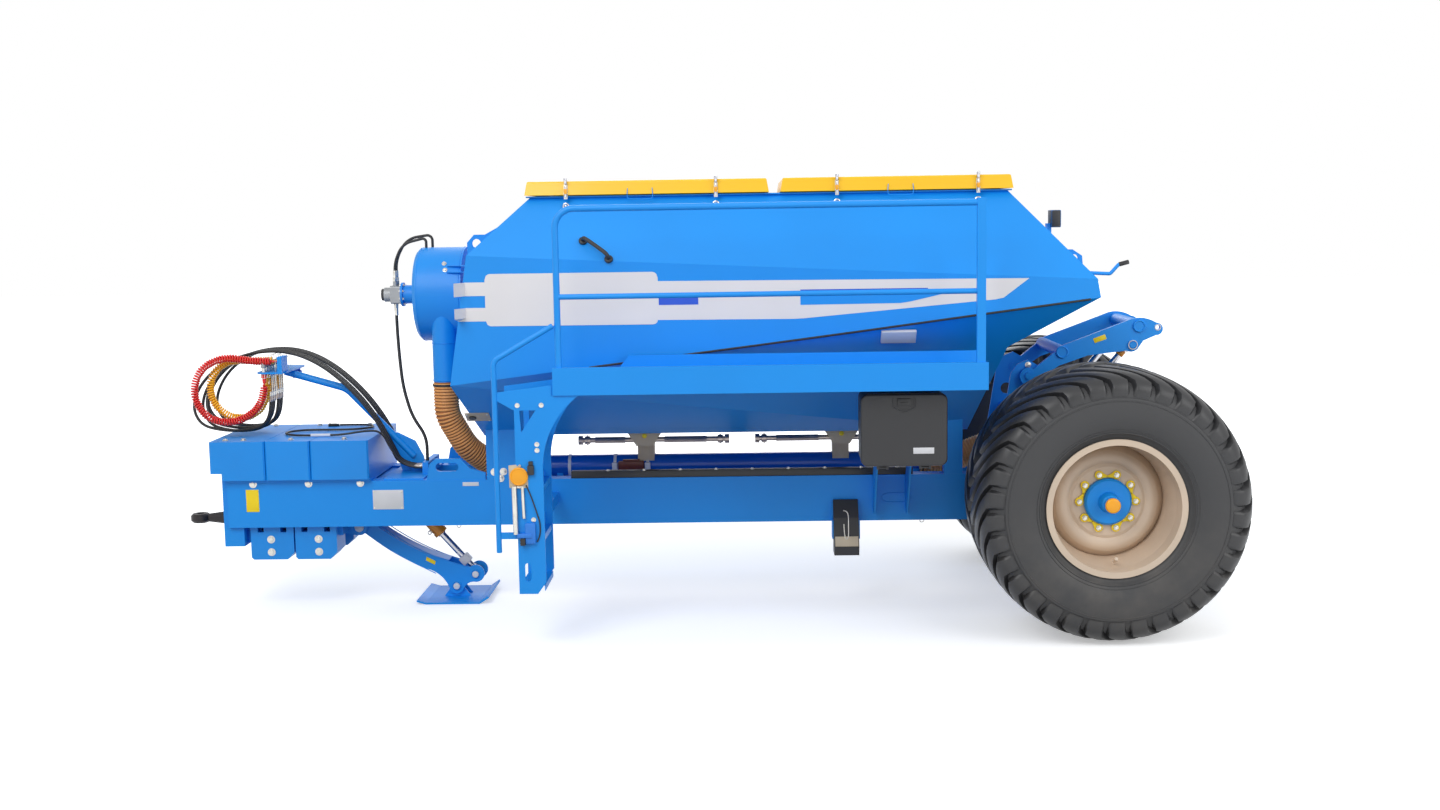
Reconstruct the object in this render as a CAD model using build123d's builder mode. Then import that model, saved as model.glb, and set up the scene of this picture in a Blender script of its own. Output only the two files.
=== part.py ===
from build123d import *
from math import pi, radians, tan
import os

os.makedirs("parts", exist_ok=True)

# A towed seeding cart, millimetres. +X is forward towards the towing eye, +Y the left side with the walkway,
# +Z up. The origin is on the ground under the middle of the overall length.
# A station is a distance forward from the wheel axle; at(station) gives its X.

# ---- Driving dimensions ----
tyre_diameter = 1630.0
tyre_width = 850.0
wheel_track = 2150.0
eye_station = 5940.0        # axle to the tip of the towing eye
weld_gap = 0.3              # seat between pieces that are made apart
running_gap = 6.0           # between a moving piece and its neighbour
pin_gap = 0.3               # round a hinge pin

overall_length = eye_station + tyre_diameter / 2
axle_x = (tyre_diameter - overall_length) / 2
axle_z = tyre_diameter / 2


def at(station):
    return axle_x + station


def side_plane(y):
    """Upright plane along the machine at lateral position y; its axes are X and Z."""
    return Plane.XZ.offset(-y)


def cross_plane(station):
    """Upright plane across the machine; its axes are Y and Z."""
    return Plane.YZ.offset(at(station))


def save(part, name):
    part.label = name
    export_step(part, f"parts/{name}.step")


def profile_points(points):
    """Station and height pairs as sketch points of a side plane."""
    return [(at(station), z) for station, z in points]


# ---- Main frame: two box rails, cross members, front plate and drawbar lugs ----
rail_bottom = 560.0
rail_height = 300.0
rail_width = 120.0
rail_outer_y = 380.0
rail_rear = -260.0
rail_front = 5560.0
rail_top = rail_bottom + rail_height
rail_inner_y = rail_outer_y - rail_width
front_plate_thickness = 40.0
front_plate_bottom = 430.0
front_plate_top = rail_top + 10
axle_beam_size = 150.0
saddle_rear = 4610.0
saddle_thickness = 20.0
# air line between the rails
cross_member_top = 800.0
air_tube_radius = 75.0
air_tube_z = cross_member_top + 10 + air_tube_radius
air_tube_stations = (1000.0, 3700.0)
# wheel chock beside the left rail
chock_station = 1520.0
chock_width = 160.0
chock_gap = 12.0            # from the rail to the chock's back

# cross members between the rails: rear station, length along the machine, bottom, top
cross_members = [
    (-250, 90, 580, cross_member_top),
    (900, 120, 600, 780),
    (2150, 120, 600, cross_member_top),
    (3330, 160, 600, cross_member_top),
    (4560, 60, 600, 845),
    (4840, 90, 480, 845),
    (5380, 180, 440, 845),
]
# stand pivot, stand cylinder bracket and stand geometry, as (station, z)
stand_pivot = (4770.0, 500.0)
stand_foot_pin = (4130.0, 85.0)
stand_rod_pin = (4000.0, 165.0)
stand_barrel_pin = (4500.0, 735.0)
stand_half_width = 75.0     # outside of the leg's side plates
leg_plate = 12.0
pin_radius = 20.0
ear_plate = 20.0
barrel_ear_y = 51.0         # inner face of the cylinder's ears

with BuildPart() as main_frame:
    for side in (-1, 1):
        with Locations((at((rail_rear + rail_front) / 2), side * (rail_outer_y - rail_width / 2),
                        (rail_bottom + rail_top) / 2)):
            Box(rail_front - rail_rear, rail_width, rail_height)
    for rear, length, bottom, top in cross_members:
        with Locations((at(rear + length / 2), 0, (bottom + top) / 2)):
            Box(length, 2 * rail_inner_y, top - bottom)
    with Locations((at(rail_front + front_plate_thickness / 2), 0, (front_plate_bottom + front_plate_top) / 2)):
        Box(front_plate_thickness, 2 * rail_outer_y - 60, front_plate_top - front_plate_bottom)
    # nose box under the front end of the drawbar
    with Locations((at(rail_front - 45), 0, (front_plate_bottom + rail_bottom) / 2)):
        Box(90, 2 * rail_outer_y - 60, rail_bottom - front_plate_bottom)
    # ears of the stand leg, under the cross member in front of them
    for side in (-1, 1):
        ear_mid_y = side * (stand_half_width + running_gap + ear_plate / 2)
        with BuildSketch(side_plane(ear_mid_y)):
            with BuildLine():
                Polyline(*profile_points([(4720, 600), (4935, 600), (4935, 470), (4790, 445), (4720, 470)]),
                         close=True)
            make_face()
            with Locations((at(stand_pivot[0]), stand_pivot[1])):
                Circle(55)
                Circle(pin_radius, mode=Mode.SUBTRACT)
        extrude(amount=ear_plate / 2, both=True)
        # ears of the stand cylinder, hanging from the cross member behind the weights
        with BuildSketch(side_plane(side * (barrel_ear_y + ear_plate / 2))):
            with BuildLine():
                Polyline(*profile_points([(4565, 600), (4565, 845), (4480, 800), (4440, 735), (4480, 680)]),
                         close=True)
            make_face()
            with Locations((at(stand_barrel_pin[0]), stand_barrel_pin[1])):
                Circle(45)
                Circle(pin_radius, mode=Mode.SUBTRACT)
        extrude(amount=ear_plate / 2, both=True)
    # slotted lifting lug on top of each rail
    for side in (-1, 1):
        with BuildSketch(side_plane(side * (rail_outer_y - 15))):
            with BuildLine():
                Polyline(*profile_points([(3860, rail_top), (4245, rail_top), (4225, 965), (4185, 1000),
                                          (4020, 1000), (3960, 935), (3860, 905)]), close=True)
            make_face()
            with Locations((at(4110), 945)):
                SlotOverall(150, 56, mode=Mode.SUBTRACT)
        extrude(amount=12, both=True)
    # saddle plate under the upper ballast
    with Locations((at((saddle_rear + rail_front) / 2), 0, rail_top + saddle_thickness / 2)):
        Box(rail_front - saddle_rear, 2 * rail_outer_y + 30, saddle_thickness)
    # cradles of the air line on the cross members
    for rear, length, bottom, top in cross_members[1:4]:
        with BuildSketch(cross_plane(max(rear + length / 2, air_tube_stations[0] + 30) - 20)):
            with Locations((0, (top - 1 + air_tube_z) / 2)):
                Rectangle(130, air_tube_z - top + 1)
            with Locations((0, air_tube_z)):
                Circle(air_tube_radius + weld_gap, mode=Mode.SUBTRACT)
        extrude(amount=40)
    # holder of the wheel chock
    for sign in (-1, 1):
        with Locations((at(chock_station + sign * (chock_width / 2 + 5)), rail_outer_y + 48, 520)):
            Box(8, 100, 120)
    with Locations((at(chock_station), rail_outer_y + (chock_gap - weld_gap) / 2, 590)):
        Box(chock_width + 18, chock_gap - weld_gap, 200)
    # window for the axle beam
    with Locations((at(0), 0, axle_z)):
        Box(axle_beam_size + 2 * weld_gap, 2 * rail_outer_y + 20, axle_beam_size + 2 * weld_gap, mode=Mode.SUBTRACT)
save(main_frame.part, "main_frame")

# ---- Axle ----
axle_beam_half = 560.0
spindle_radius = 50.0
wheel_y = wheel_track / 2
brake_drum_radius = 215.0
hub_inner_y = 720.0         # inner face of the brake drum, from the middle
disc_y = wheel_y + 93.0     # outside face of the wheel disc
chamber_radius = 80.0
chamber_length = 150.0
chamber_reach = 150.0
chamber_y = 480.0

with BuildPart() as axle_beam:
    with Locations((at(0), 0, axle_z)):
        Box(axle_beam_size, 2 * axle_beam_half, axle_beam_size)
    for side in (-1, 1):
        with BuildSketch(side_plane(side * axle_beam_half)):
            with Locations((at(0), axle_z)):
                Circle(90)
        extrude(amount=-side * (hub_inner_y - 30 - axle_beam_half))
        with BuildSketch(side_plane(side * (hub_inner_y - 30))):
            with Locations((at(0), axle_z)):
                Circle(spindle_radius)
        extrude(amount=-side * (disc_y - hub_inner_y))
        # brake shoe backing plate
        with BuildSketch(side_plane(side * (hub_inner_y - 22))):
            with Locations((at(0), axle_z)):
                Circle(brake_drum_radius - 15)
        extrude(amount=-side * 12)
        # brake chamber on a bracket in front of the beam
        with BuildSketch(cross_plane(axle_beam_size / 2 + chamber_reach)):
            with Locations((side * chamber_y, axle_z + 40)):
                Circle(chamber_radius)
        extrude(amount=chamber_length)
        with Locations((at(axle_beam_size / 2 + chamber_reach / 2), side * chamber_y, axle_z + 40)):
            Box(chamber_reach + 2, 24, 60)
save(axle_beam.part, "axle_beam")

# ---- Wheels ----
rim_seat_radius = 387.0
rim_flange_radius = 411.0
rim_width = 712.0           # between the flanges
rim_wall = 12.0
rim_well_radius = 345.0
disc_thickness = 16.0
disc_face = disc_y - wheel_y
hub_radius = 140.0
hub_bore_gap = 0.3
stud_circle = 335.0
stud_count = 10
stud_radius = 11.0
belly_depth = 235.0         # from the tread to where the sidewall is widest

for side_name, side in (("left", 1), ("right", -1)):
    def wheel_profile(points):
        """Points (offset outwards from the wheel's middle, radius) in the plane of the wheel axis."""
        return [(side * (wheel_y + offset), axle_z + radius) for offset, radius in points]

    wheel_axis = Axis((at(0), 0, axle_z), (0, 1, 0))
    half = rim_width / 2
    with BuildPart() as rim:
        with BuildSketch(cross_plane(0)):
            with BuildLine():
                Polyline(*wheel_profile([
                    (-half - rim_wall, rim_flange_radius), (-half, rim_flange_radius), (-half, rim_seat_radius),
                    (-half + 70, rim_seat_radius - 4), (-130, rim_well_radius + rim_wall),
                    (60, rim_well_radius + rim_wall), (half - 90, rim_seat_radius - 4), (half, rim_seat_radius),
                    (half, rim_flange_radius), (half + rim_wall, rim_flange_radius),
                    (half + rim_wall, rim_seat_radius - rim_wall), (half - 96, rim_seat_radius - 4 - rim_wall),
                    (66, rim_well_radius), (-136, rim_well_radius),
                    (-half + 64, rim_seat_radius - 4 - rim_wall), (-half - rim_wall, rim_seat_radius - rim_wall),
                ]), close=True)
            make_face()
            # dished wheel disc from the well to the hub bore: flat middle, rolled shoulder, cone to the well
            with BuildLine():
                outer = wheel_profile([(disc_face, hub_radius + hub_bore_gap), (disc_face, 208), (disc_face - 6, 226),
                                       (disc_face + 8, 262), (disc_face - 8, 306), (disc_face - 66, rim_well_radius + 2)])
                inner = wheel_profile([(disc_face - disc_thickness - 66, rim_well_radius + 2),
                                       (disc_face - disc_thickness - 16, 300), (disc_face - disc_thickness - 2, 262),
                                       (disc_face - disc_thickness - 14, 228), (disc_face - disc_thickness, 200),
                                       (disc_face - disc_thickness, hub_radius + hub_bore_gap)])
                Polyline(*outer[:3])
                ThreePointArc(*outer[2:5])
                Polyline(outer[4], outer[5], inner[0], inner[1])
                ThreePointArc(*inner[1:4])
                Polyline(*inner[3:], outer[0])
            make_face()
        revolve(axis=wheel_axis)
    save(rim.part, f"{side_name}_rim")

    tyre_half = tyre_width / 2
    tyre_radius = tyre_diameter / 2
    with BuildPart() as tyre:
        with BuildSketch(cross_plane(0)):
            with BuildLine():
                low, high = -half + weld_gap, half - weld_gap
                bead = rim_seat_radius + weld_gap
                Polyline(*wheel_profile([(low, bead + 40), (low, bead), (high, bead), (high, bead + 40)]))
                for end in (1, -1):
                    widest, shoulder, edge = wheel_profile([
                        (end * tyre_half, tyre_radius - belly_depth), (end * (tyre_half - 20), tyre_radius - 95),
                        (end * (tyre_half - 85), tyre_radius - 18)])
                    bead_top, = wheel_profile([(end * high, bead + 40)])
                    TangentArc(widest, bead_top, tangent=(0, -1))
                    TangentArc(widest, shoulder, tangent=(0, 1))
                    ThreePointArc(shoulder, wheel_profile([(end * (tyre_half - 41), tyre_radius - 46)])[0], edge)
                ThreePointArc(*wheel_profile([(tyre_half - 85, tyre_radius - 18), (0, tyre_radius),
                                              (85 - tyre_half, tyre_radius - 18)]))
            make_face()
        revolve(axis=wheel_axis)
    save(tyre.part, f"{side_name}_tyre")

    with BuildPart() as hub:
        with BuildSketch(cross_plane(0)):
            inner = hub_inner_y - wheel_y
            face = disc_y - wheel_y
            spindle = spindle_radius + 1
            with BuildLine():
                Polyline(*wheel_profile([
                    (inner, brake_drum_radius - 10), (inner, brake_drum_radius), (inner + 170, brake_drum_radius),
                    (inner + 190, 110), (face - disc_thickness - 30, 110),
                    (face - disc_thickness - 30, 200), (face - disc_thickness - weld_gap, 200),
                    (face - disc_thickness - weld_gap, hub_radius), (face + 30, hub_radius),
                    (face + 42, hub_radius - 12), (face + 42, 62), (face + 110, 52), (face + 118, 44),
                    (face + 150, 44), (face + 156, 36), (face + 156, 0), (face + 12, 0), (face + 12, spindle),
                    (inner + 14, spindle), (inner + 14, 90), (inner + 160, 90), (inner + 160, brake_drum_radius - 10),
                ]), close=True)
            make_face()
        revolve(axis=wheel_axis)
    save(hub.part, f"{side_name}_hub")

# ---- Towing eye ----
eye_bore = 50.0
eye_ring_radius = 65.0
eye_height = 60.0
eye_z = 560.0
flange_radius = 95.0
with BuildPart() as towing_eye:
    with BuildSketch(Plane.XY.offset(eye_z - eye_height / 2)):
        with Locations((at(eye_station - eye_ring_radius), 0)):
            Circle(eye_ring_radius)
    extrude(amount=eye_height)
    chamfer(towing_eye.edges().filter_by(GeomType.CIRCLE), 14)
    with BuildSketch(cross_plane(rail_front + front_plate_thickness)):
        with Locations((0, eye_z)):
            Circle(flange_radius)
    extrude(amount=30)
    with BuildSketch(cross_plane(rail_front + front_plate_thickness + 30)) as neck_root:
        with Locations((0, eye_z)):
            Circle(52)
    with BuildSketch(cross_plane(eye_station - 2 * eye_ring_radius + 22)) as neck_tip:
        with Locations((0, eye_z)):
            Circle(26)
    loft()
    with Locations((at(eye_station - eye_ring_radius), 0, eye_z)):
        Cylinder(eye_bore / 2, eye_height + 20, mode=Mode.SUBTRACT)
save(towing_eye.part, "towing_eye")

# ---- Ballast ----
upper_half_width = 430.0
upper_top = 1135.0
seam = 4.0
# upper ballast: rear station, front station
upper_blocks = [(4610, 4990), (4990 + seam, 5285), (5285 + seam, 5650)]
with BuildPart() as upper_ballast:
    for rear, front in upper_blocks:
        bottom = rail_top + saddle_thickness
        with Locations((at((rear + front) / 2), 0, (bottom + upper_top) / 2)):
            Box(front - rear, 2 * upper_half_width, upper_top - bottom)
    # the front block steps up where it overhangs the front plate
    with Locations((at(5650 - 35), 0, rail_top + saddle_thickness + 15)):
        Box(75, 2 * upper_half_width + 2, 62, mode=Mode.SUBTRACT)
    chamfer(upper_ballast.edges().filter_by(Axis.Z), 10)
save(upper_ballast.part, "upper_ballast")

lower_half_width = 330.0
lower_bottom = 335.0
# lower ballast: rear station, front station of each hook-on block
lower_blocks = [(4865, 5140), (5150, 5435)]
lower_top = rail_bottom - weld_gap
with BuildPart() as lower_ballast:
    for rear, front in lower_blocks:
        with BuildSketch(side_plane(0)):
            mid = (rear + front) / 2
            with BuildLine():
                Polyline(*profile_points([
                    (rear, lower_bottom + 45), (rear + 45, lower_bottom), (front - 15, lower_bottom),
                    (front, lower_bottom + 15), (front, lower_top), (mid + 95, lower_top), (mid + 95, lower_top - 42),
                    (mid + 55, lower_top - 42), (mid + 55, lower_top), (mid - 55, lower_top),
                    (mid - 55, lower_top - 42), (mid - 95, lower_top - 42), (mid - 95, lower_top), (rear, lower_top),
                ]), close=True)
            make_face()
        extrude(amount=lower_half_width, both=True)
    # room for the cross members, nose and the stand's ears
    for rear, length, bottom, top in cross_members[5:]:
        with Locations((at(rear + length / 2), 0, bottom + 100)):
            Box(length + 2, 2 * rail_inner_y + 2, 200 + 2 * weld_gap, mode=Mode.SUBTRACT)
    with Locations((at(4830), 0, 520)):
        Box(240, 2 * (stand_half_width + running_gap + ear_plate + 10), 400, mode=Mode.SUBTRACT)
save(lower_ballast.part, "lower_ballast")

# ---- Hopper: a folded-sheet tank with two compartments ----
hopper_wall = 5.0
rim_z = 2680.0
rim_half_width = 720.0
rim_stations = (540.0, 3460.0)
belly_z = 1140.0
belly_half_width = 300.0
# corners of the left side as (station, y, z)
corner = {
    "rim_rear": (rim_stations[0], rim_half_width, rim_z),
    "rim_front": (rim_stations[1], rim_half_width, rim_z),
    "shoulder_rear": (60, 1120, 2140),
    "shoulder_front": (3830, 980, 2330),
    "hip_rear": (40, 1121, 2030),
    "hip_front": (3955, 975, 1540),
    "knee": (550, 1121, 1720),
    "belly_rear": (720, belly_half_width, belly_z),
    "belly_front": (3870, belly_half_width, belly_z),
}
hopper_middle = Vector(at(2000), 0, 1900)


def panel(first, second, third):
    """Plane through three points (station, y, z), its normal pointing out of the hopper."""
    a, b, c = (Vector(at(s), y, z) for s, y, z in (first, second, third))
    normal = (b - a).cross(c - a).normalized()
    if normal.dot(hopper_middle - a) > 0:
        normal = normal * -1
    return Plane(origin=a, z_dir=normal)


def mirrored(point):
    station, y, z = point
    return (station, -y, z)


def sunk(point, y=0):
    """The same station at another lateral position, for panels that run straight across."""
    return (point[0], y, point[2])


side_panels = [
    ("rim_rear", "rim_front", "shoulder_rear"),
    ("hip_front", "hip_rear", "belly_rear"),
]
across_panels = [("rim_front", "shoulder_front"), ("shoulder_front", "hip_front"), ("hip_front", "belly_front"),
                 ("rim_rear", "shoulder_rear"), ("shoulder_rear", "hip_rear")]
shared_planes = []
for names in side_panels:
    points = [corner[name] for name in names]
    shared_planes.append(panel(*points))
    shared_planes.append(panel(*[mirrored(point) for point in points]))
for sign in (1, -1):
    # upright band through both shoulders, and the front funnel panel that runs along the belly
    rear, front = corner["shoulder_rear"], corner["shoulder_front"]
    shared_planes.append(panel((rear[0], sign * rear[1], 0), (front[0], sign * front[1], 0),
                               (front[0], sign * front[1], 900)))
    shared_planes.append(panel((700, sign * belly_half_width, belly_z), (3000, sign * belly_half_width, belly_z),
                               (corner["hip_front"][0], sign * corner["hip_front"][1], corner["hip_front"][2])))
for upper, lower in across_panels:
    shared_planes.append(panel(sunk(corner[upper]), sunk(corner[lower]), sunk(corner[lower], y=100)))
shared_planes.append(Plane(origin=(at(2000), 0, belly_z), z_dir=(0, 0, -1)))
top_plane = Plane(origin=(at(2000), 0, rim_z), z_dir=(0, 0, 1))
# the tank's two re-entrant rear panels
tail_underside = panel(sunk(corner["hip_rear"]), sunk(corner["knee"]), sunk(corner["knee"], y=100))
rear_wall = panel(sunk(corner["knee"]), sunk(corner["belly_rear"]), sunk(corner["belly_rear"], y=100))


def tank_half(extra_plane, inset, top_inset):
    """The space inside all shared panels and one rear panel, every panel moved inwards by inset."""
    with BuildPart() as space:
        with Locations((at(2000), 0, 1900)):
            Box(5000, 3000, 3000)
        split(bisect_by=top_plane.offset(-top_inset), keep=Keep.BOTTOM)
        for plane in (*shared_planes, extra_plane):
            split(bisect_by=plane.offset(-inset), keep=Keep.BOTTOM)
    return space.part


tank_outer = tank_half(tail_underside, 0, 0) + tank_half(rear_wall, 0, 0)
tank_inner = tank_half(tail_underside, hopper_wall, -10) + tank_half(rear_wall, hopper_wall, -10)
divider_station = 1960.0
rim_flange = 30.0
rim_flange_thickness = 8.0
with BuildPart() as hopper:
    add(tank_outer)
    add(tank_inner, mode=Mode.SUBTRACT)
    # wall between the compartments
    with BuildPart(mode=Mode.PRIVATE) as divider:
        add(tank_half(rear_wall, hopper_wall - 1, 40))
        split(bisect_by=Plane.YZ.offset(at(divider_station + hopper_wall / 2)), keep=Keep.BOTTOM)
        split(bisect_by=Plane.YZ.offset(at(divider_station - hopper_wall / 2)), keep=Keep.TOP)
    add(divider.part)
    # outward flange round the rim, and the cross bar under the gap between the lids
    with BuildSketch(Plane.XY.offset(rim_z - rim_flange_thickness)):
        with Locations((at(sum(rim_stations) / 2), 0)):
            Rectangle(rim_stations[1] - rim_stations[0] + 2 * rim_flange, 2 * (rim_half_width + rim_flange))
            Rectangle(rim_stations[1] - rim_stations[0] - 2 * hopper_wall, 2 * (rim_half_width - hopper_wall),
                      mode=Mode.SUBTRACT)
        with Locations((at(divider_station), 0)):
            Rectangle(90, 2 * rim_half_width - 2)
    extrude(amount=rim_flange_thickness)
save(hopper.part, "hopper")

# ---- Lids ----
lid_wall = 5.0
lid_half_width = 775.0
lid_taper = 15.0            # how far each side leans in
lid_top = 2770.0
lid_bottom = rim_z + running_gap
hinge_y = -(lid_half_width + 28)
hinge_z = rim_z + 30
hinge_pin_radius = 7.0
knuckle_radius = 14.0
knuckle_length = 60.0
# lids: name, rear station, front station
lids = [("rear_lid", 505, 1925), ("front_lid", 1995, 3495)]


def lid_hinge_stations(rear, front):
    return [rear + 220, front - 220]


for name, rear, front in lids:
    middle, length = (rear + front) / 2, front - rear
    with BuildPart() as lid:
        with BuildSketch(Plane.XY.offset(lid_bottom)):
            with Locations((at(middle), 0)):
                Rectangle(length, 2 * lid_half_width)
        with BuildSketch(Plane.XY.offset(lid_top)):
            with Locations((at(middle), 0)):
                Rectangle(length - 2 * lid_taper, 2 * (lid_half_width - lid_taper))
        loft()
        fillet(lid.faces().sort_by(Axis.Z)[-1].edges(), 12)
        # the hollow underneath
        with BuildSketch(Plane.XY.offset(lid_bottom)):
            with Locations((at(middle), 0)):
                Rectangle(length - 2 * lid_wall, 2 * (lid_half_width - lid_wall))
        with BuildSketch(Plane.XY.offset(lid_top - lid_wall)):
            with Locations((at(middle), 0)):
                Rectangle(length - 40 - 2 * lid_wall, 2 * (lid_half_width - 20 - lid_wall))
        loft(mode=Mode.SUBTRACT)
        # hinge knuckles
        for station in lid_hinge_stations(rear, front):
            with BuildSketch(cross_plane(station - knuckle_length / 2)):
                with Locations((hinge_y, hinge_z)):
                    Circle(knuckle_radius)
                with BuildLine():
                    Polyline((hinge_y, hinge_z - 6), (hinge_y, hinge_z + knuckle_radius),
                             (-lid_half_width + 9, hinge_z + knuckle_radius), (-lid_half_width + 5, hinge_z - 6),
                             close=True)
                make_face()
                with Locations((hinge_y, hinge_z)):
                    Circle(hinge_pin_radius + pin_gap, mode=Mode.SUBTRACT)
            extrude(amount=knuckle_length)
    save(lid.part, name)

with BuildPart() as lid_hinges:
    for name, rear, front in lids:
        for station in lid_hinge_stations(rear, front):
            ear = 8.0
            reach = knuckle_length / 2 + 1 + ear
            with BuildSketch(cross_plane(station - reach)):
                with Locations((hinge_y, hinge_z)):
                    Circle(hinge_pin_radius)
            extrude(amount=2 * reach)
            for start in (station - reach, station + reach - ear):
                with BuildSketch(cross_plane(start)):
                    with Locations((hinge_y, hinge_z)):
                        Circle(knuckle_radius)
                    with BuildLine():
                        Polyline((hinge_y - knuckle_radius, hinge_z), (hinge_y + knuckle_radius, hinge_z),
                                 (hinge_y + knuckle_radius, rim_z + 4), (-rim_half_width - 4, rim_z + 4),
                                 (-rim_half_width - 4, rim_z + weld_gap),
                                 (-rim_half_width - rim_flange - weld_gap, rim_z + weld_gap),
                                 (-rim_half_width - rim_flange - weld_gap, rim_z - 30),
                                 (hinge_y - knuckle_radius, rim_z - 30), close=True)
                    make_face()
                extrude(amount=ear)
save(lid_hinges.part, "lid_hinges")

# ---- Hopper supports on the rails ----
tank_seat = tank_half(tail_underside, -weld_gap, -weld_gap) + tank_half(rear_wall, -weld_gap, -weld_gap)
support_y = rail_outer_y - 60
# support legs: rear station, front station
support_legs = [(760, 880), (3640, 3850)]
with BuildPart() as hopper_supports:
    for rear, front in support_legs:
        with Locations((at((rear + front) / 2), 0, (rail_top + 1300) / 2)):
            Box(front - rear, 2 * rail_outer_y, 1300 - rail_top)
        with Locations((at((rear + front) / 2), 0, (rail_top + 1300) / 2)):
            Box(front - rear + 2, 2 * rail_inner_y + 60, 1310 - rail_top, mode=Mode.SUBTRACT)
    # front cross plate with a window for the air tube
    with BuildSketch(cross_plane(3640)):
        with Locations((0, (rail_top + 1300) / 2)):
            Rectangle(2 * rail_inner_y + 60, 1300 - rail_top)
        with Locations((0, 885)):
            Circle(110, mode=Mode.SUBTRACT)
    extrude(amount=10)
    add(tank_seat, mode=Mode.SUBTRACT)
    with Locations((at(2300), 0, rail_top)):
        Box(6000, 2 * rail_outer_y + 10, 2 * weld_gap, mode=Mode.SUBTRACT)
save(hopper_supports.part, "hopper_supports")

# ---- Walkway ----
walk_outer_y = 1450.0
walk_inner_y = 1020.0
walk_rear = 750.0
walk_front = 3270.0
walk_bottom = 1525.0
walk_top = 1685.0
floor_z = 1600.0
sheet = 5.0
rib_pitch = 500.0
rail_tube_radius = 19.0
handrail_y = 1418.0
handrail_top = 2620.0
handrail_mid = 2095.0
rear_post_station = 790.0
front_post_station = 3235.0
rear_post_size = 50.0
rear_post_depth = 40.0
with BuildPart() as walkway:
    walk_mid, walk_length = (walk_rear + walk_front) / 2, walk_front - walk_rear
    with BuildSketch(cross_plane(walk_rear)):
        # floor, outer channel with its lower flange, inner channel
        with Locations((( walk_outer_y + walk_inner_y) / 2, floor_z)):
            Rectangle(walk_outer_y - walk_inner_y, sheet)
        with Locations((walk_outer_y - sheet / 2, (walk_bottom + walk_top) / 2)):
            Rectangle(sheet, walk_top - walk_bottom)
        with Locations((walk_outer_y - 20, walk_bottom + sheet / 2), (walk_outer_y - 20, walk_top - sheet / 2)):
            Rectangle(40, sheet)
        with Locations((walk_inner_y + sheet / 2, (walk_bottom + floor_z) / 2)):
            Rectangle(sheet, floor_z - walk_bottom)
        with Locations((walk_inner_y + 20, walk_bottom + sheet / 2)):
            Rectangle(40, sheet)
    extrude(amount=walk_length)
    rib_count = int(walk_length // rib_pitch) + 2
    for index in range(rib_count):
        station = walk_rear + sheet / 2 + index * (walk_length - sheet) / (rib_count - 1)
        with Locations((at(station), (walk_outer_y + walk_inner_y) / 2, (walk_bottom + floor_z) / 2)):
            Box(sheet, walk_outer_y - walk_inner_y, floor_z - walk_bottom)
    # notches in the top flange for the guard rail's posts
    with Locations((at(rear_post_station), handrail_y, walk_top)):
        Box(rear_post_size + 2 * weld_gap, rear_post_depth + 2 * weld_gap, 4 * sheet, mode=Mode.SUBTRACT)
    with Locations((at(front_post_station), handrail_y, walk_top)):
        Cylinder(rail_tube_radius + weld_gap, 4 * sheet, mode=Mode.SUBTRACT)
save(walkway.part, "walkway")

toe_board_y = 1080.0
toe_board_top = 1722.0
with BuildPart() as toe_board:
    low = floor_z + sheet / 2 + weld_gap
    with BuildSketch(side_plane(toe_board_y)):
        with BuildLine():
            Polyline(*profile_points([(walk_rear, low), (walk_front - 360, low), (walk_front - 360, 1650),
                                      (walk_front - 420, toe_board_top), (walk_rear, toe_board_top)]), close=True)
        make_face()
    extrude(amount=sheet / 2, both=True)
    with Locations((at((walk_rear + walk_front - 420) / 2), toe_board_y - 12, toe_board_top - sheet / 2)):
        Box(walk_front - 420 - walk_rear, 24, sheet)
save(toe_board.part, "toe_board")

with BuildPart() as guard_rail:
    with BuildLine() as top_run:
        FilletPolyline(
            (at(front_post_station), handrail_y, floor_z + sheet / 2 + weld_gap),
            (at(front_post_station), handrail_y, handrail_top - rail_tube_radius),
            (at(rear_post_station), handrail_y, handrail_top - rail_tube_radius), radius=110)
    with BuildSketch(Plane(origin=top_run.line @ 0, z_dir=top_run.line % 0)):
        Circle(rail_tube_radius)
    sweep()
    with BuildSketch(cross_plane(rear_post_station)):
        with Locations((handrail_y, handrail_mid)):
            Circle(rail_tube_radius - 3)
    extrude(amount=front_post_station - rear_post_station)
    with Locations((at(rear_post_station), handrail_y,
                    (floor_z + sheet / 2 + weld_gap + handrail_top + 6) / 2)):
        Box(rear_post_size, rear_post_depth, handrail_top + 6 - floor_z - sheet / 2 - weld_gap)
save(guard_rail.part, "guard_rail")

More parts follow.
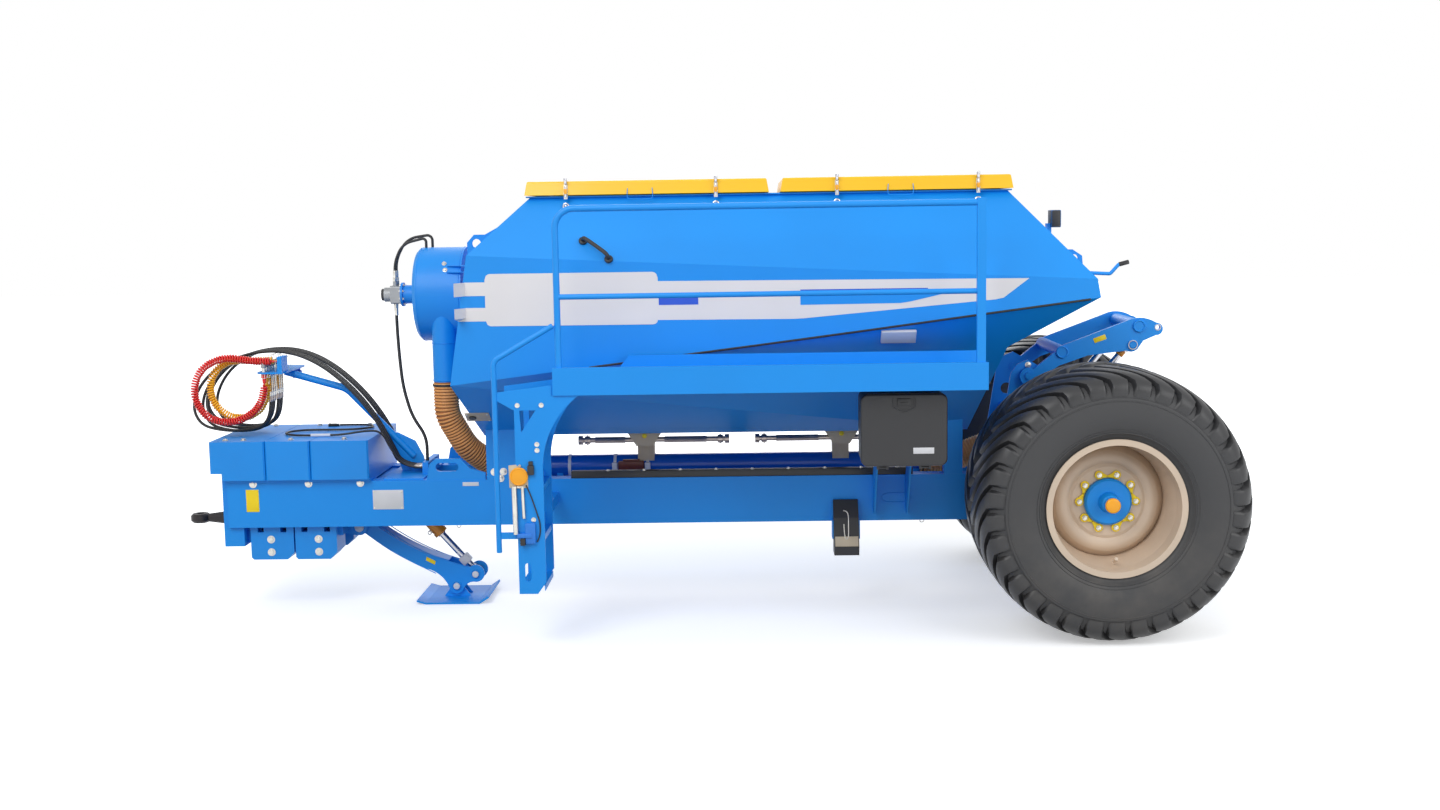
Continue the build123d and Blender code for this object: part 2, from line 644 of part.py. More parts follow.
# ---- Ladder at the front of the walkway ----
stringer_thickness = 8.0
ladder_bottom = 350.0
ladder_ys = (1060.0, 1434.0)
ladder_stations = (3340.0, 3500.0)
tread_heights = [385, 680, 975, 1270]
tread_height = 34.0
tread_sheet = 4.0
handhold_station = 3612.0
with BuildPart() as ladder:
    rear_edge, front_edge = ladder_stations
    under_walk = walk_bottom - weld_gap
    for y in ladder_ys:
        with BuildSketch(side_plane(y)):
            with BuildLine():
                outline = profile_points([
                    (rear_edge, 1060), (rear_edge, 420), (rear_edge + 50, ladder_bottom), (front_edge, ladder_bottom),
                    (front_edge, 1440), (handhold_station, 1505), (handhold_station, 1545), (walk_front + 10, 1585),
                    (walk_front + 10, under_walk), (3120, under_walk)])
                Polyline(*outline)
                ThreePointArc(outline[-1], (at(3285), 1330), outline[0])
            make_face()
            # lightening hole and step slot
            with BuildLine():
                Polyline(*profile_points([(3470, 1440), (3375, 1440), (3462, 1310)]), close=True)
            make_face(mode=Mode.SUBTRACT)
            with Locations((at(3445), 480)):
                SlotOverall(110, 36, rotation=90, mode=Mode.SUBTRACT)
        extrude(amount=stringer_thickness / 2, both=True)
    tread_mid = sum(ladder_stations) / 2
    for height in tread_heights:
        with BuildSketch(side_plane(ladder_ys[0])):
            with Locations((at(tread_mid), height)):
                Rectangle(front_edge - rear_edge - 12, tread_height)
            with Locations((at(tread_mid), height - tread_sheet)):
                Rectangle(front_edge - rear_edge - 12 - 2 * tread_sheet, tread_height, mode=Mode.SUBTRACT)
        extrude(amount=-(ladder_ys[1] - ladder_ys[0]))
    # beams out from the side of the main frame
    for z, size in ((740, 70), (1010, 50)):
        reach_from = rail_outer_y + weld_gap if z < rail_top else ladder_ys[0]
        with Locations((at(tread_mid), (reach_from + ladder_ys[1]) / 2, z)):
            Box(70, ladder_ys[1] - reach_from, size)
    # handhold tube, bent back to the guard rail's front post
    with BuildLine() as handhold:
        FilletPolyline((at(handhold_station), ladder_ys[1], 600), (at(handhold_station), ladder_ys[1], 1730),
                       (at(front_post_station + rail_tube_radius + 8), ladder_ys[1], 1930), radius=60)
    with BuildSketch(Plane(origin=handhold.line @ 0, z_dir=handhold.line % 0)):
        Circle(16)
    sweep()
    for z in (700,):
        with Locations((at((front_edge + handhold_station) / 2), ladder_ys[1], z)):
            Box(handhold_station - front_edge, stringer_thickness, 40)
save(ladder.part, "ladder")

# ---- Brackets between the rails and the walkway, behind the toolbox ----
with BuildPart() as walkway_brackets:
    for station in (1120, 1330):
        with BuildSketch(cross_plane(station)):
            y0 = rail_outer_y + weld_gap
            with BuildLine():
                Polyline((y0, 620), (y0, 850), (640, 1150), (walk_inner_y - 50, 1470),
                         (walk_inner_y - 50, walk_bottom - weld_gap), (walk_inner_y + 38, walk_bottom - weld_gap),
                         (walk_inner_y + 38, 1400), (760, 1060), (y0 + 90, 620), close=True)
            make_face()
        extrude(amount=10)
save(walkway_brackets.part, "walkway_brackets")

# ---- Toolbox ----
box_rear, box_front = 970.0, 1480.0
box_bottom, box_top = 1065.0, 1495.0
box_back_y = walk_inner_y + 38 + weld_gap
box_face_y = 1330.0
box_wall = 6.0
box_lid_depth = 45.0
box_split_y = box_face_y - box_lid_depth
door_pin_radius = 7.0
door_axis_y = box_split_y + 12
door_axis_z = box_bottom - 10
door_hinge_stations = (box_rear + 130, box_front - 130)
door_lug = 14.0
with BuildPart() as toolbox:
    with BuildSketch(side_plane(box_back_y)):
        with Locations((at((box_rear + box_front) / 2), (box_bottom + box_top) / 2)):
            RectangleRounded(box_front - box_rear - 8, box_top - box_bottom - 8, 40)
    extrude(amount=-(box_split_y - running_gap - box_back_y))
    with BuildSketch(side_plane(box_back_y + box_wall)):
        with Locations((at((box_rear + box_front) / 2), (box_bottom + box_top) / 2)):
            RectangleRounded(box_front - box_rear - 8 - 2 * box_wall, box_top - box_bottom - 8 - 2 * box_wall,
                             40 - box_wall)
    extrude(amount=-(box_split_y - box_back_y), mode=Mode.SUBTRACT)
    # hinge tongues under the door
    for station in door_hinge_stations:
        with Locations((at(station), box_split_y - 24, box_bottom - 6)):
            Box(40, 32, 22)
        with Locations((at(station), box_split_y - 9, door_axis_z)):
            Box(40, 42, 2 * door_pin_radius)
        with BuildSketch(cross_plane(station - 20 - 1 - door_lug)):
            with Locations((door_axis_y, door_axis_z)):
                Circle(door_pin_radius)
        extrude(amount=2 * (20 + 1 + door_lug))
save(toolbox.part, "toolbox")

with BuildPart() as toolbox_door:
    with BuildSketch(side_plane(box_split_y)):
        with Locations((at((box_rear + box_front) / 2), (box_bottom + box_top) / 2)):
            RectangleRounded(box_front - box_rear, box_top - box_bottom, 44)
    extrude(amount=-box_lid_depth)
    fillet(toolbox_door.faces().sort_by(Axis.Y)[-1].edges(), 14)
    with BuildSketch(side_plane(box_split_y - 2)):
        with Locations((at((box_rear + box_front) / 2), (box_bottom + box_top) / 2)):
            RectangleRounded(box_front - box_rear - 2 * box_wall, box_top - box_bottom - 2 * box_wall, 38)
    extrude(amount=-(box_lid_depth - 8), mode=Mode.SUBTRACT)
    # recess of the latch
    with BuildSketch(side_plane(box_face_y + 1)):
        with BuildLine():
            Polyline(*profile_points([
                (1170, 1470), (1170, 1425), (1225, 1398), (1280, 1425), (1280, 1470)]), close=True)
        make_face()
    extrude(amount=5, mode=Mode.SUBTRACT)
    # hinge lugs round the body's pins
    for station in door_hinge_stations:
        for start in (station - 20 - 1 - door_lug, station + 20 + 1):
            with BuildSketch(cross_plane(start)):
                with Locations((door_axis_y, door_axis_z)):
                    Circle(door_pin_radius + 5)
                with BuildLine():
                    Polyline((door_axis_y - 10, door_axis_z), (door_axis_y + 12, door_axis_z),
                             (door_axis_y + 12, box_bottom + 14), (door_axis_y - 10, box_bottom + 14), close=True)
                make_face()
                with Locations((door_axis_y, door_axis_z)):
                    Circle(door_pin_radius + pin_gap, mode=Mode.SUBTRACT)
            extrude(amount=door_lug)
save(toolbox_door.part, "toolbox_door")

# ---- Parking stand ----
foot_length = 480.0
foot_width = 500.0
foot_plate = 12.0
with BuildPart() as stand_leg:
    pivot_x, pivot_z = at(stand_pivot[0]), stand_pivot[1]
    plate_y = stand_half_width - leg_plate / 2
    for side in (-1, 1):
        with BuildSketch(side_plane(side * plate_y)):
            with BuildLine():
                ThreePointArc(*profile_points([(4722, 553), (4480, 385), (4035, 213)]))
                ThreePointArc(*profile_points([(4035, 213), (3940, 165), (4000, 110)]))
                ThreePointArc(*profile_points([(4000, 110), (4070, 88), (4088, 60)]))
                ThreePointArc(*profile_points([(4088, 60), (4135, 32), (4178, 62)]))
                ThreePointArc(*profile_points([(4178, 62), (4230, 148), (4330, 205)]))
                ThreePointArc(*profile_points([(4330, 205), (4585, 345), (4735, 458)]))
                ThreePointArc(*profile_points([(4735, 458), (4828, 508), (4722, 553)]))
            make_face()
            for station, z in (stand_pivot, stand_foot_pin, stand_rod_pin):
                with Locations((at(station), z)):
                    Circle(pin_radius + pin_gap, mode=Mode.SUBTRACT)
        extrude(amount=leg_plate / 2, both=True)
    # web along the top edge
    with BuildSketch(side_plane(0)):
        with BuildLine():
            top_edge = profile_points([(4660, 503), (4440, 363), (4180, 262)])
            low_edge = profile_points([(4184, 250), (4444, 351), (4666, 491)])
            ThreePointArc(*top_edge)
            Line(top_edge[-1], low_edge[0])
            ThreePointArc(*low_edge)
            Line(low_edge[-1], top_edge[0])
        make_face()
    extrude(amount=stand_half_width - leg_plate + 1, both=True)
save(stand_leg.part, "stand_leg")

# pins fixed in the frame's ears: the leg's pivot and the cylinder's base pin, as (station, z, outer face of the ears)
fixed_pins = [(*stand_pivot, stand_half_width + running_gap + ear_plate),
              (*stand_barrel_pin, barrel_ear_y + ear_plate)]
with BuildPart() as stand_frame_pins:
    for station, z, ear_face in fixed_pins:
        with BuildSketch(side_plane(-ear_face - 9)):
            with Locations((at(station), z)):
                Circle(pin_radius - pin_gap)
        extrude(amount=-2 * (ear_face + 9))
save(stand_frame_pins.part, "stand_frame_pins")
# pins of the foot and of the cylinder's rod, which ride in the leg
with BuildPart() as stand_leg_pins:
    for station, z in (stand_foot_pin, stand_rod_pin):
        reach = stand_half_width + 12
        with BuildSketch(side_plane(-reach)):
            with Locations((at(station), z)):
                Circle(pin_radius)
        extrude(amount=-2 * reach)
save(stand_leg_pins.part, "stand_leg_pins")

foot_ear_y = 38.0
foot_ear = 14.0
with BuildPart() as stand_foot:
    foot_x, foot_z = at(stand_foot_pin[0]), stand_foot_pin[1]
    half_flat = foot_length / 2 - 60
    with BuildSketch(side_plane(0)):
        with BuildLine():
            Polyline((foot_x - half_flat, 0), (foot_x + half_flat, 0), (foot_x + half_flat + 62, 18),
                     (foot_x + half_flat + 59, 18 + foot_plate), (foot_x + half_flat - 2, foot_plate),
                     (foot_x - half_flat + 2, foot_plate), (foot_x - half_flat - 56, 40 + foot_plate),
                     (foot_x - half_flat - 64, 40), close=True)
        make_face()
    extrude(amount=foot_width / 2, both=True)
    for side in (-1, 1):
        with BuildSketch(side_plane(side * (foot_ear_y + foot_ear / 2))):
            with BuildLine():
                Polyline((foot_x - 90, foot_plate - 1), (foot_x + 90, foot_plate - 1), (foot_x + 34, foot_z),
                         (foot_x - 34, foot_z), close=True)
            make_face()
            with Locations((foot_x, foot_z)):
                Circle(36)
                Circle(pin_radius + pin_gap, mode=Mode.SUBTRACT)
        extrude(amount=foot_ear / 2, both=True)
save(stand_foot.part, "stand_foot")


def cylinder_plane(base, tip, y):
    """Sketch plane through both pins of a hydraulic cylinder: x runs from the base pin to the rod pin."""
    along = Vector(tip[0] - base[0], 0, tip[1] - base[1]).normalized()
    return Plane(origin=(at(base[0]), y, base[1]), x_dir=along, z_dir=(0, 1, 0))


def cylinder_barrel(base, tip, y, radius, length, rod_radius, eye_width):
    """The barrel with its base eye and gland, bored for the rod."""
    along = Vector(tip[0] - base[0], 0, tip[1] - base[1]).normalized()
    axis_origin = Vector(at(base[0]), y, base[1])
    with BuildPart() as barrel:
        with BuildSketch(cylinder_plane(base, tip, y - eye_width / 2)):
            Circle(radius * 0.9)
            with Locations((radius * 0.8, 0)):
                Rectangle(radius * 1.6, radius * 1.4)
        extrude(amount=eye_width)
        with BuildSketch(Plane(origin=axis_origin + along * radius * 0.9, z_dir=along)):
            Circle(radius)
        extrude(amount=length - radius * 0.9 - 25)
        with BuildSketch(Plane(origin=axis_origin + along * (length - 25), z_dir=along)):
            Circle(radius + 4)
        extrude(amount=25)
        with BuildSketch(Plane(origin=axis_origin + along * radius * 1.3, z_dir=along)):
            Circle(rod_radius + 0.5)
        extrude(amount=length, mode=Mode.SUBTRACT)
        with BuildSketch(cylinder_plane(base, tip, y - eye_width / 2)):
            Circle(pin_radius + pin_gap)
        extrude(amount=eye_width, mode=Mode.SUBTRACT)
    return barrel.part


def cylinder_rod(base, tip, y, rod_radius, length, eye_width, eye_slack):
    """The chrome rod, from inside the barrel to its eye, whose bore clears the pin by eye_slack."""
    along = Vector(base[0] - tip[0], 0, base[1] - tip[1]).normalized()
    axis_origin = Vector(at(tip[0]), y, tip[1])
    with BuildPart() as rod:
        with BuildSketch(Plane(origin=axis_origin + along * pin_radius, z_dir=along)):
            Circle(rod_radius)
        extrude(amount=length - pin_radius)
        with BuildSketch(cylinder_plane(tip, base, y - eye_width / 2)):
            Circle(pin_radius + eye_slack + 13)
            with Locations((pin_radius * 1.6, 0)):
                Rectangle(pin_radius * 1.8, rod_radius * 2.4)
        extrude(amount=eye_width)
        with BuildSketch(cylinder_plane(tip, base, y - eye_width / 2)):
            Circle(pin_radius + eye_slack)
        extrude(amount=eye_width, mode=Mode.SUBTRACT)
    return rod.part


# hydraulic cylinders: barrel radius, barrel length, rod radius, rod length, eye width, slack of the rod's eye
stand_cylinder = (44.0, 400.0, 22.0, 540.0, 90.0, 7.0)
lift_cylinder = (42.0, 500.0, 22.0, 560.0, 56.0, 8.0)
radius, length, rod_radius, rod_length, eye_width, eye_slack = stand_cylinder
save(cylinder_barrel(stand_barrel_pin, stand_rod_pin, 0, radius, length, rod_radius, eye_width), "stand_cylinder")
save(cylinder_rod(stand_barrel_pin, stand_rod_pin, 0, rod_radius, rod_length, eye_width, eye_slack),
     "stand_cylinder_rod")

# ---- Rear lift arms ----
arm_y = 340.0
arm_thickness = 30.0
tower_y = 300.0
tower_thickness = 20.0
arm_pivot = (330.0, 1490.0)
arm_pin_radius = 25.0
arm_tip = (-490.0, 1790.0)
arm_rod_pin = (-330.0, 1680.0)
arm_barrel_pin = (250.0, 970.0)
arm_tip_bore = 14.0
arm_bosses = [(-370.0, 1800.0), (120.0, 1640.0)]
arm_boss_radius = 40.0
lift_cylinder_y = 240.0
with BuildPart() as lift_towers:
    for side in (-1, 1):
        with BuildSketch(side_plane(side * tower_y)):
            with BuildLine():
                Polyline(*profile_points([
                    (600, rail_top + weld_gap), (500, 1120), (440, 1500), (400, 1560), (330, 1590), (262, 1550),
                    (215, 1200), (130, rail_top + 60), (130, rail_top + weld_gap)]), close=True)
            make_face()
            with Locations((at(375), 1340)):
                Circle(38, mode=Mode.SUBTRACT)
        extrude(amount=tower_thickness / 2, both=True)
        # foot plate on the rail
        with Locations((at(365), side * (rail_outer_y - rail_width / 2), rail_top + 8 + weld_gap)):
            Box(470, rail_width - 6, 16)
        # pivot pin, through the arm, and the base pin of the lift cylinder
        with BuildSketch(side_plane(side * (tower_y - tower_thickness / 2 - 6))):
            with Locations((at(arm_pivot[0]), arm_pivot[1])):
                Circle(arm_pin_radius)
        extrude(amount=-side * (arm_y + arm_thickness / 2 + 12 - (tower_y - tower_thickness / 2 - 6)))
        with BuildSketch(side_plane(side * (lift_cylinder_y - 38))):
            with Locations((at(arm_barrel_pin[0]), arm_barrel_pin[1])):
                Circle(pin_radius)
        extrude(amount=-side * (tower_y - lift_cylinder_y + 38))
    with BuildSketch(side_plane(-tower_y)):
        with Locations((at(400), 1220)):
            Circle(30)
    extrude(amount=-2 * tower_y)
save(lift_towers.part, "lift_towers")

with BuildPart() as lift_arms:
    for side in (-1, 1):
        with BuildSketch(side_plane(side * arm_y)):
            with BuildLine():
                tip = profile_points([(-481, 1820), (-522, 1785), (-480, 1740)])
                Polyline(*profile_points([(300, 1532), (111, 1684), (-299, 1836)]))
                ThreePointArc(*profile_points([(-299, 1836), (-390, 1852), (-481, 1820)]))
                ThreePointArc(*tip)
                Polyline(*profile_points([(-480, 1740), (-399, 1706), (-362, 1652)]))
                ThreePointArc(*profile_points([(-362, 1652), (-330, 1636), (-290, 1643)]))
                Polyline(*profile_points([(-290, 1643), (-43, 1615), (139, 1552), (290, 1447)]))
                ThreePointArc(*profile_points([(290, 1447), (388, 1490), (300, 1532)]))
            make_face()
            with Locations((at(arm_pivot[0]), arm_pivot[1])):
                Circle(arm_pin_radius + pin_gap, mode=Mode.SUBTRACT)
            with Locations((at(arm_tip[0]), arm_tip[1])):
                Circle(arm_tip_bore, mode=Mode.SUBTRACT)
        extrude(amount=arm_thickness / 2, both=True)
        # pin of the lift cylinder's rod
        with BuildSketch(side_plane(side * (lift_cylinder_y - 38))):
            with Locations((at(arm_rod_pin[0]), arm_rod_pin[1])):
                Circle(pin_radius)
        extrude(amount=-side * (arm_y + arm_thickness / 2 + 12 - lift_cylinder_y + 38))
    for station, z in arm_bosses:
        with BuildSketch(side_plane(-arm_y - arm_thickness / 2 - 10)):
            with Locations((at(station), z)):
                Circle(arm_boss_radius)
        extrude(amount=-2 * (arm_y + arm_thickness / 2 + 10))
save(lift_arms.part, "lift_arms")

radius, length, rod_radius, rod_length, eye_width, eye_slack = lift_cylinder
for side_name, side in (("left", 1), ("right", -1)):
    y = side * lift_cylinder_y
    save(cylinder_barrel(arm_barrel_pin, arm_rod_pin, y, radius, length, rod_radius, eye_width),
         f"{side_name}_lift_cylinder")
    save(cylinder_rod(arm_barrel_pin, arm_rod_pin, y, rod_radius, rod_length, eye_width, eye_slack),
         f"{side_name}_lift_cylinder_rod")

# ---- Fan, outlet duct and air line ----
fan_radius = 310.0
fan_stations = (3995.0, 4315.0)
fan_z = 2055.0
motor_tube_radius = 62.0
motor_station = 4440.0
duct_radius = 80.0
duct_y = 200.0
duct_station = 4130.0
duct_bottom = 1490.0
with BuildPart() as fan_housing:
    with BuildSketch(cross_plane(fan_stations[0])):
        with Locations((0, fan_z)):
            Circle(fan_radius)
    extrude(amount=fan_stations[1] - fan_stations[0])
    chamfer(fan_housing.edges().sort_by(Axis.X)[-1], 22)
    with BuildSketch(cross_plane(fan_stations[1])):
        with Locations((0, fan_z)):
            Circle(motor_tube_radius)
    extrude(amount=motor_station - fan_stations[1])
    with BuildSketch(cross_plane(motor_station - 14)):
        with Locations((0, fan_z)):
            Circle(motor_tube_radius + 18)
    extrude(amount=14)
    # straps back to the hopper's front panels
    for z in (fan_z - 210, fan_z + 150):
        for y in (-120, 120):
            with Locations((at((3860 + 4010) / 2), y, z)):
                Box(4010 - 3860, 50, 12)
    # outlet duct, down from the drum's left side
    with BuildSketch(Plane.XY.offset(duct_bottom)):
        with Locations((at(duct_station), duct_y)):
            Circle(duct_radius)
    extrude(amount=fan_z - 120 - duct_bottom)
    add(tank_seat, mode=Mode.SUBTRACT)
save(fan_housing.part, "fan_housing")

with BuildPart() as fan_motor:
    with BuildSketch(cross_plane(motor_station + weld_gap)):
        with Locations((0, fan_z)):
            RectangleRounded(105, 120, 14)
    extrude(amount=70)
    with BuildSketch(cross_plane(motor_station + 70)):
        with Locations((0, fan_z)):
            Circle(48)
    extrude(amount=45)
    for y in (-26, 26):
        with Locations((at(motor_station + 38), y, fan_z + 60 + 14)):
            Cylinder(15, 30)
save(fan_motor.part, "fan_motor")

# air line between the rails: a steel tube with a hose at each end
air_tube_wall = 4.0
hose_step = 9.0             # the hose's outside beyond the tube's
hose_radius = air_tube_radius + hose_step
hose_wall = hose_step + 3   # the hose's end seats on the tube's end
with BuildPart() as air_tube:
    with BuildSketch(cross_plane(air_tube_stations[0])):
        with Locations((0, air_tube_z)):
            Circle(air_tube_radius)
            Circle(air_tube_radius - air_tube_wall, mode=Mode.SUBTRACT)
    extrude(amount=air_tube_stations[1] - air_tube_stations[0])
save(air_tube.part, "air_tube")


def air_hose(points, radii, radius, wall):
    """An air hose along straight runs and arcs: points are (station, y, z)."""
    with BuildPart() as hose:
        with BuildLine() as route:
            FilletPolyline(*[(at(station), y, z) for station, y, z in points], radius=radii)
        with BuildSketch(Plane(origin=route.line @ 0, z_dir=route.line % 0)):
            Circle(radius)
            Circle(radius - wall, mode=Mode.SUBTRACT)
        sweep()
    return hose.part


fan_hose_points = [(duct_station, duct_y, duct_bottom - weld_gap), (duct_station, duct_y, 1270),
                   (4020, 120, 1040), (air_tube_stations[1] + 160, 0, air_tube_z),
                   (air_tube_stations[1] + weld_gap, 0, air_tube_z)]
save(air_hose(fan_hose_points, [260, 200, 120], hose_radius, hose_wall), "fan_hose")
rear_hose_points = [(air_tube_stations[0] - weld_gap, 0, air_tube_z), (820, 0, air_tube_z), (560, 0, 990),
                    (380, 0, 990)]
save(air_hose(rear_hose_points, [260, 260], hose_radius, hose_wall), "rear_air_hose")

# ---- Metering units under the two compartments ----
metering_stations = [1530.0, 2830.0]
shaft_y = 150.0
shaft_z = 1078.0
shaft_radius = 17.0
# shafts: rear station, front station
shafts = [(1005, 2100), (2270, 3270)]
with BuildPart() as metering_housings:
    for station in metering_stations:
        with BuildSketch(Plane.XY.offset(belly_z - weld_gap)):
            with Locations((at(station), 0)):
                Rectangle(240, 2 * shaft_y + 70)
        with BuildSketch(Plane.XY.offset(1040)):
            with Locations((at(station), 0)):
                Rectangle(110, 2 * shaft_y + 70)
        loft()
        with BuildSketch(Plane.XY.offset(1040)):
            with Locations((at(station), 0)):
                Rectangle(110, 130)
        extrude(amount=air_tube_z - 1040)
        with BuildSketch(cross_plane(station - 200)):
            with Locations((shaft_y, shaft_z)):
                Circle(shaft_radius + pin_gap)
            with Locations((0, air_tube_z)):
                Circle(air_tube_radius + weld_gap)
        extrude(amount=400, mode=Mode.SUBTRACT)
save(metering_housings.part, "metering_housings")
with BuildPart() as metering_shafts:
    for rear, front in shafts:
        with BuildSketch(cross_plane(rear)):
            with Locations((shaft_y, shaft_z)):
                Circle(shaft_radius)
        extrude(amount=front - rear)
        for station in (rear, front - 30):
            with BuildSketch(cross_plane(station)):
                with Locations((shaft_y, shaft_z)):
                    Circle(30)
            extrude(amount=30)
save(metering_shafts.part, "metering_shafts")

# ---- Wheel chock on its holder, on the left rail ----
with BuildPart() as wheel_chock:
    with BuildSketch(cross_plane(chock_station - chock_width / 2)):
        with BuildLine():
            chock_y = rail_outer_y + chock_gap
            Polyline((chock_y, 365), (chock_y + 150, 365), (chock_y + 165, 420), (chock_y + 95, 600),
                     (chock_y + 25, 705), (chock_y, 705), close=True)
        make_face()
    extrude(amount=chock_width)
save(wheel_chock.part, "wheel_chock")

# ---- Fittings on the hopper ----
hook_z = 2170.0
with BuildPart() as hopper_fittings:
    for y in (-500, 500):
        with BuildSketch(side_plane(y)):
            with BuildLine():
                Polyline(*profile_points([(3660, 2350), (3905, 2250), (3905, 2400), (3860, 2450), (3790, 2450),
                                          (3660, 2520)]), close=True)
            make_face()
            with Locations((at(3845), 2395)):
                Circle(28, mode=Mode.SUBTRACT)
        extrude(amount=8, both=True)
        with BuildSketch(side_plane(y)):
            with BuildLine():
                Polyline(*profile_points([(250, 2350), (20, 2150), (30, 2260), (90, 2300), (150, 2300)]), close=True)
            make_face()
            with Locations((at(80), 2245)):
                Circle(24, mode=Mode.SUBTRACT)
        extrude(amount=8, both=True)
    # hooks for a cover's straps
    for y in (-900, 900):
        with BuildLine() as hook_line:
            FilletPolyline((at(120), y, hook_z), (at(-60), y, hook_z - 10), (at(-110), y, hook_z + 45),
                           (at(-170), y, hook_z + 60), radius=20)
        with BuildSketch(Plane(origin=hook_line.line @ 0, z_dir=hook_line.line % 0)):
            Circle(11)
        sweep()
    # work lamp on its bracket
    with Locations((at(150), 0, 2310)):
        Box(30, 60, 300)
    with Locations((at(110), 0, 2490)):
        Box(60, 130, 110)
    add(tank_seat, mode=Mode.SUBTRACT)
save(hopper_fittings.part, "hopper_fittings")

# ---- Hose arm and hose holder on the drawbar ----
arm_base = (4400.0, 925.0)
arm_bend = (4840.0, 1430.0)
arm_end = (5250.0, 1550.0)
rack_station = 5275.0
rack_z = 1560.0
rack_plate = 10.0
rack_depth = 190.0
rack_half_width = 275.0
socket_station = 5320.0
socket_radius = 13.0
hose_lanes = (-125.0, -85.0, -45.0, 45.0, 85.0, 125.0)
coil_lanes = (180.0, 245.0)
manifold_front = 4310.0
bulkhead_front = 5220.0
coil_start_z = 1640.0
manifold_half_width = 190.0
manifold_top = 950.0
with BuildPart() as hose_arm:
    with BuildLine() as arm_line:
        FilletPolyline((at(arm_base[0]), 0, arm_base[1] + 40), (at(arm_bend[0]), 0, arm_bend[1]),
                       (at(arm_end[0]), 0, arm_end[1]), radius=150)
    with BuildSketch(Plane(origin=arm_line.line @ 0, z_dir=arm_line.line % 0)):
        Circle(24)
    sweep()
    with BuildSketch(side_plane(0)):
        with BuildLine():
            Polyline(*profile_points([(4330, 860), (4480, 860), (4560, 1100), (4510, 1130), (4390, 1070),
                                      (4335, 960)]), close=True)
        make_face()
    extrude(amount=8, both=True)
    with Locations((at(4400), 0, rail_top + 6)):
        Box(260, 2 * rail_outer_y - 40, 12 - 2 * weld_gap)
    # rack plate with sockets for the parked couplings
    with BuildSketch(Plane.XY.offset(rack_z)):
        with Locations((at(rack_station), 0)):
            RectangleRounded(rack_depth, 2 * rack_half_width, 60)
        for y in (*hose_lanes, *coil_lanes):
            with Locations((at(socket_station), y)):
                Circle(socket_radius, mode=Mode.SUBTRACT)
    extrude(amount=rack_plate)
    # block on the foot plate that the hoses come out of
    with Locations((at(manifold_front - 20), 0, (rail_top + 11 + manifold_top) / 2)):
        Box(40, 2 * manifold_half_width, manifold_top - rail_top - 11)
    # upstand that the coiled lines leave from
    with Locations((at(bulkhead_front - 15), sum(coil_lanes) / 2, (rack_z + coil_start_z + 32) / 2)):
        Box(30, coil_lanes[1] - coil_lanes[0] + 70, coil_start_z + 32 - rack_z)
save(hose_arm.part, "hose_arm")


# ---- Parked hoses and lines on the rack ----
def smooth_radii(points):
    """Bend radius at each corner of a line: as wide as the shorter of its two runs allows."""
    radii = []
    for before, corner_point, after in zip(points, points[1:], points[2:]):
        run_in = Vector(*corner_point) - Vector(*before)
        run_out = Vector(*after) - Vector(*corner_point)
        half_turn = run_in.get_angle(run_out) / 2
        radii.append(0.45 * min(run_in.length, run_out.length) / tan(radians(half_turn)))
    return radii


def line_tube(points, radius, name):
    """A solid tube along straight runs and arcs: points are (station, y, z)."""
    places = [(at(station), y, z) for station, y, z in points]
    radii = smooth_radii(places)
    with BuildPart() as tube:
        with BuildLine() as route:
            FilletPolyline(*places, radius=radii)
        with BuildSketch(Plane(origin=route.line @ 0, z_dir=route.line % 0)):
            Circle(radius)
        sweep()
    length = route.wire().length
    share = tube.part.volume / (pi * radius ** 2 * length)
    print(name, "length", round(length), "tightest bend", round(min(radii)), "volume share", round(share, 4))
    return tube.part


line_radius = 10.0
outlet_z = 912.0
cable_radius = 7.0
coil_radius = 27.0
coupling_radius = 17.0
coupling_bottom = 1400.0
coil_socket_bottom = rack_z - 30
# hydraulic hoses: side place of the loop, how far forward it reaches, height of its lowest stretch
hose_loops = [(-185, 5862, 1172), (-118, 5775, 1180), (-58, 5826, 1168),
              (48, 5778, 1184), (95, 5800, 1170), (140, 5845, 1176)]
for number, (lane, (loop_y, reach, low)) in enumerate(zip(hose_lanes, hose_loops), 1):
    stretch = (reach - socket_station) / 540
    loop = [socket_station + stretch * offset for offset in (70, 280, 450, 540, 490, 350, 190)]
    half_y = (lane + loop_y) / 2
    save(line_tube([
        (manifold_front + weld_gap, lane, outlet_z), (4468, lane, outlet_z), (4535, lane, 1060), (4640, lane, 1262),
        (4790, lane, 1450), (4980, lane, 1610), (5180, lane, 1695), (loop[0], lane, 1700), (loop[1], half_y, 1640),
        (loop[2], loop_y, 1520), (loop[3], loop_y, 1350), (loop[4], loop_y, 1215), (loop[5], loop_y, low),
        (loop[6], half_y, low - 7), (socket_station + 52, lane, low + 20), (socket_station, lane, low + 122),
        (socket_station, lane, coupling_bottom - weld_gap),
    ], line_radius, f"hydraulic_hose_{number}"), f"hydraulic_hose_{number}")

# coiled air lines, each the outer shape of its coils
save(line_tube([
    (bulkhead_front + weld_gap, 245, coil_start_z), (5390, 245, coil_start_z), (5575, 247, 1680), (5745, 250, 1600),
    (5800, 250, 1425), (5715, 250, 1268), (5540, 248, 1232), (5390, 246, 1305), (socket_station, 245, 1425),
    (socket_station, 245, coil_socket_bottom - weld_gap),
], coil_radius, "red_air_line"), "red_air_line")
save(line_tube([
    (bulkhead_front + weld_gap, 180, coil_start_z), (5362, 180, coil_start_z), (5586, 181, 1650),
    (5699, 183, 1537), (5699, 184, 1377), (5586, 183, 1265), (5430, 181, 1265), (socket_station, 180, 1377),
    (socket_station, 180, coil_socket_bottom - weld_gap),
], coil_radius, "yellow_air_line"), "yellow_air_line")

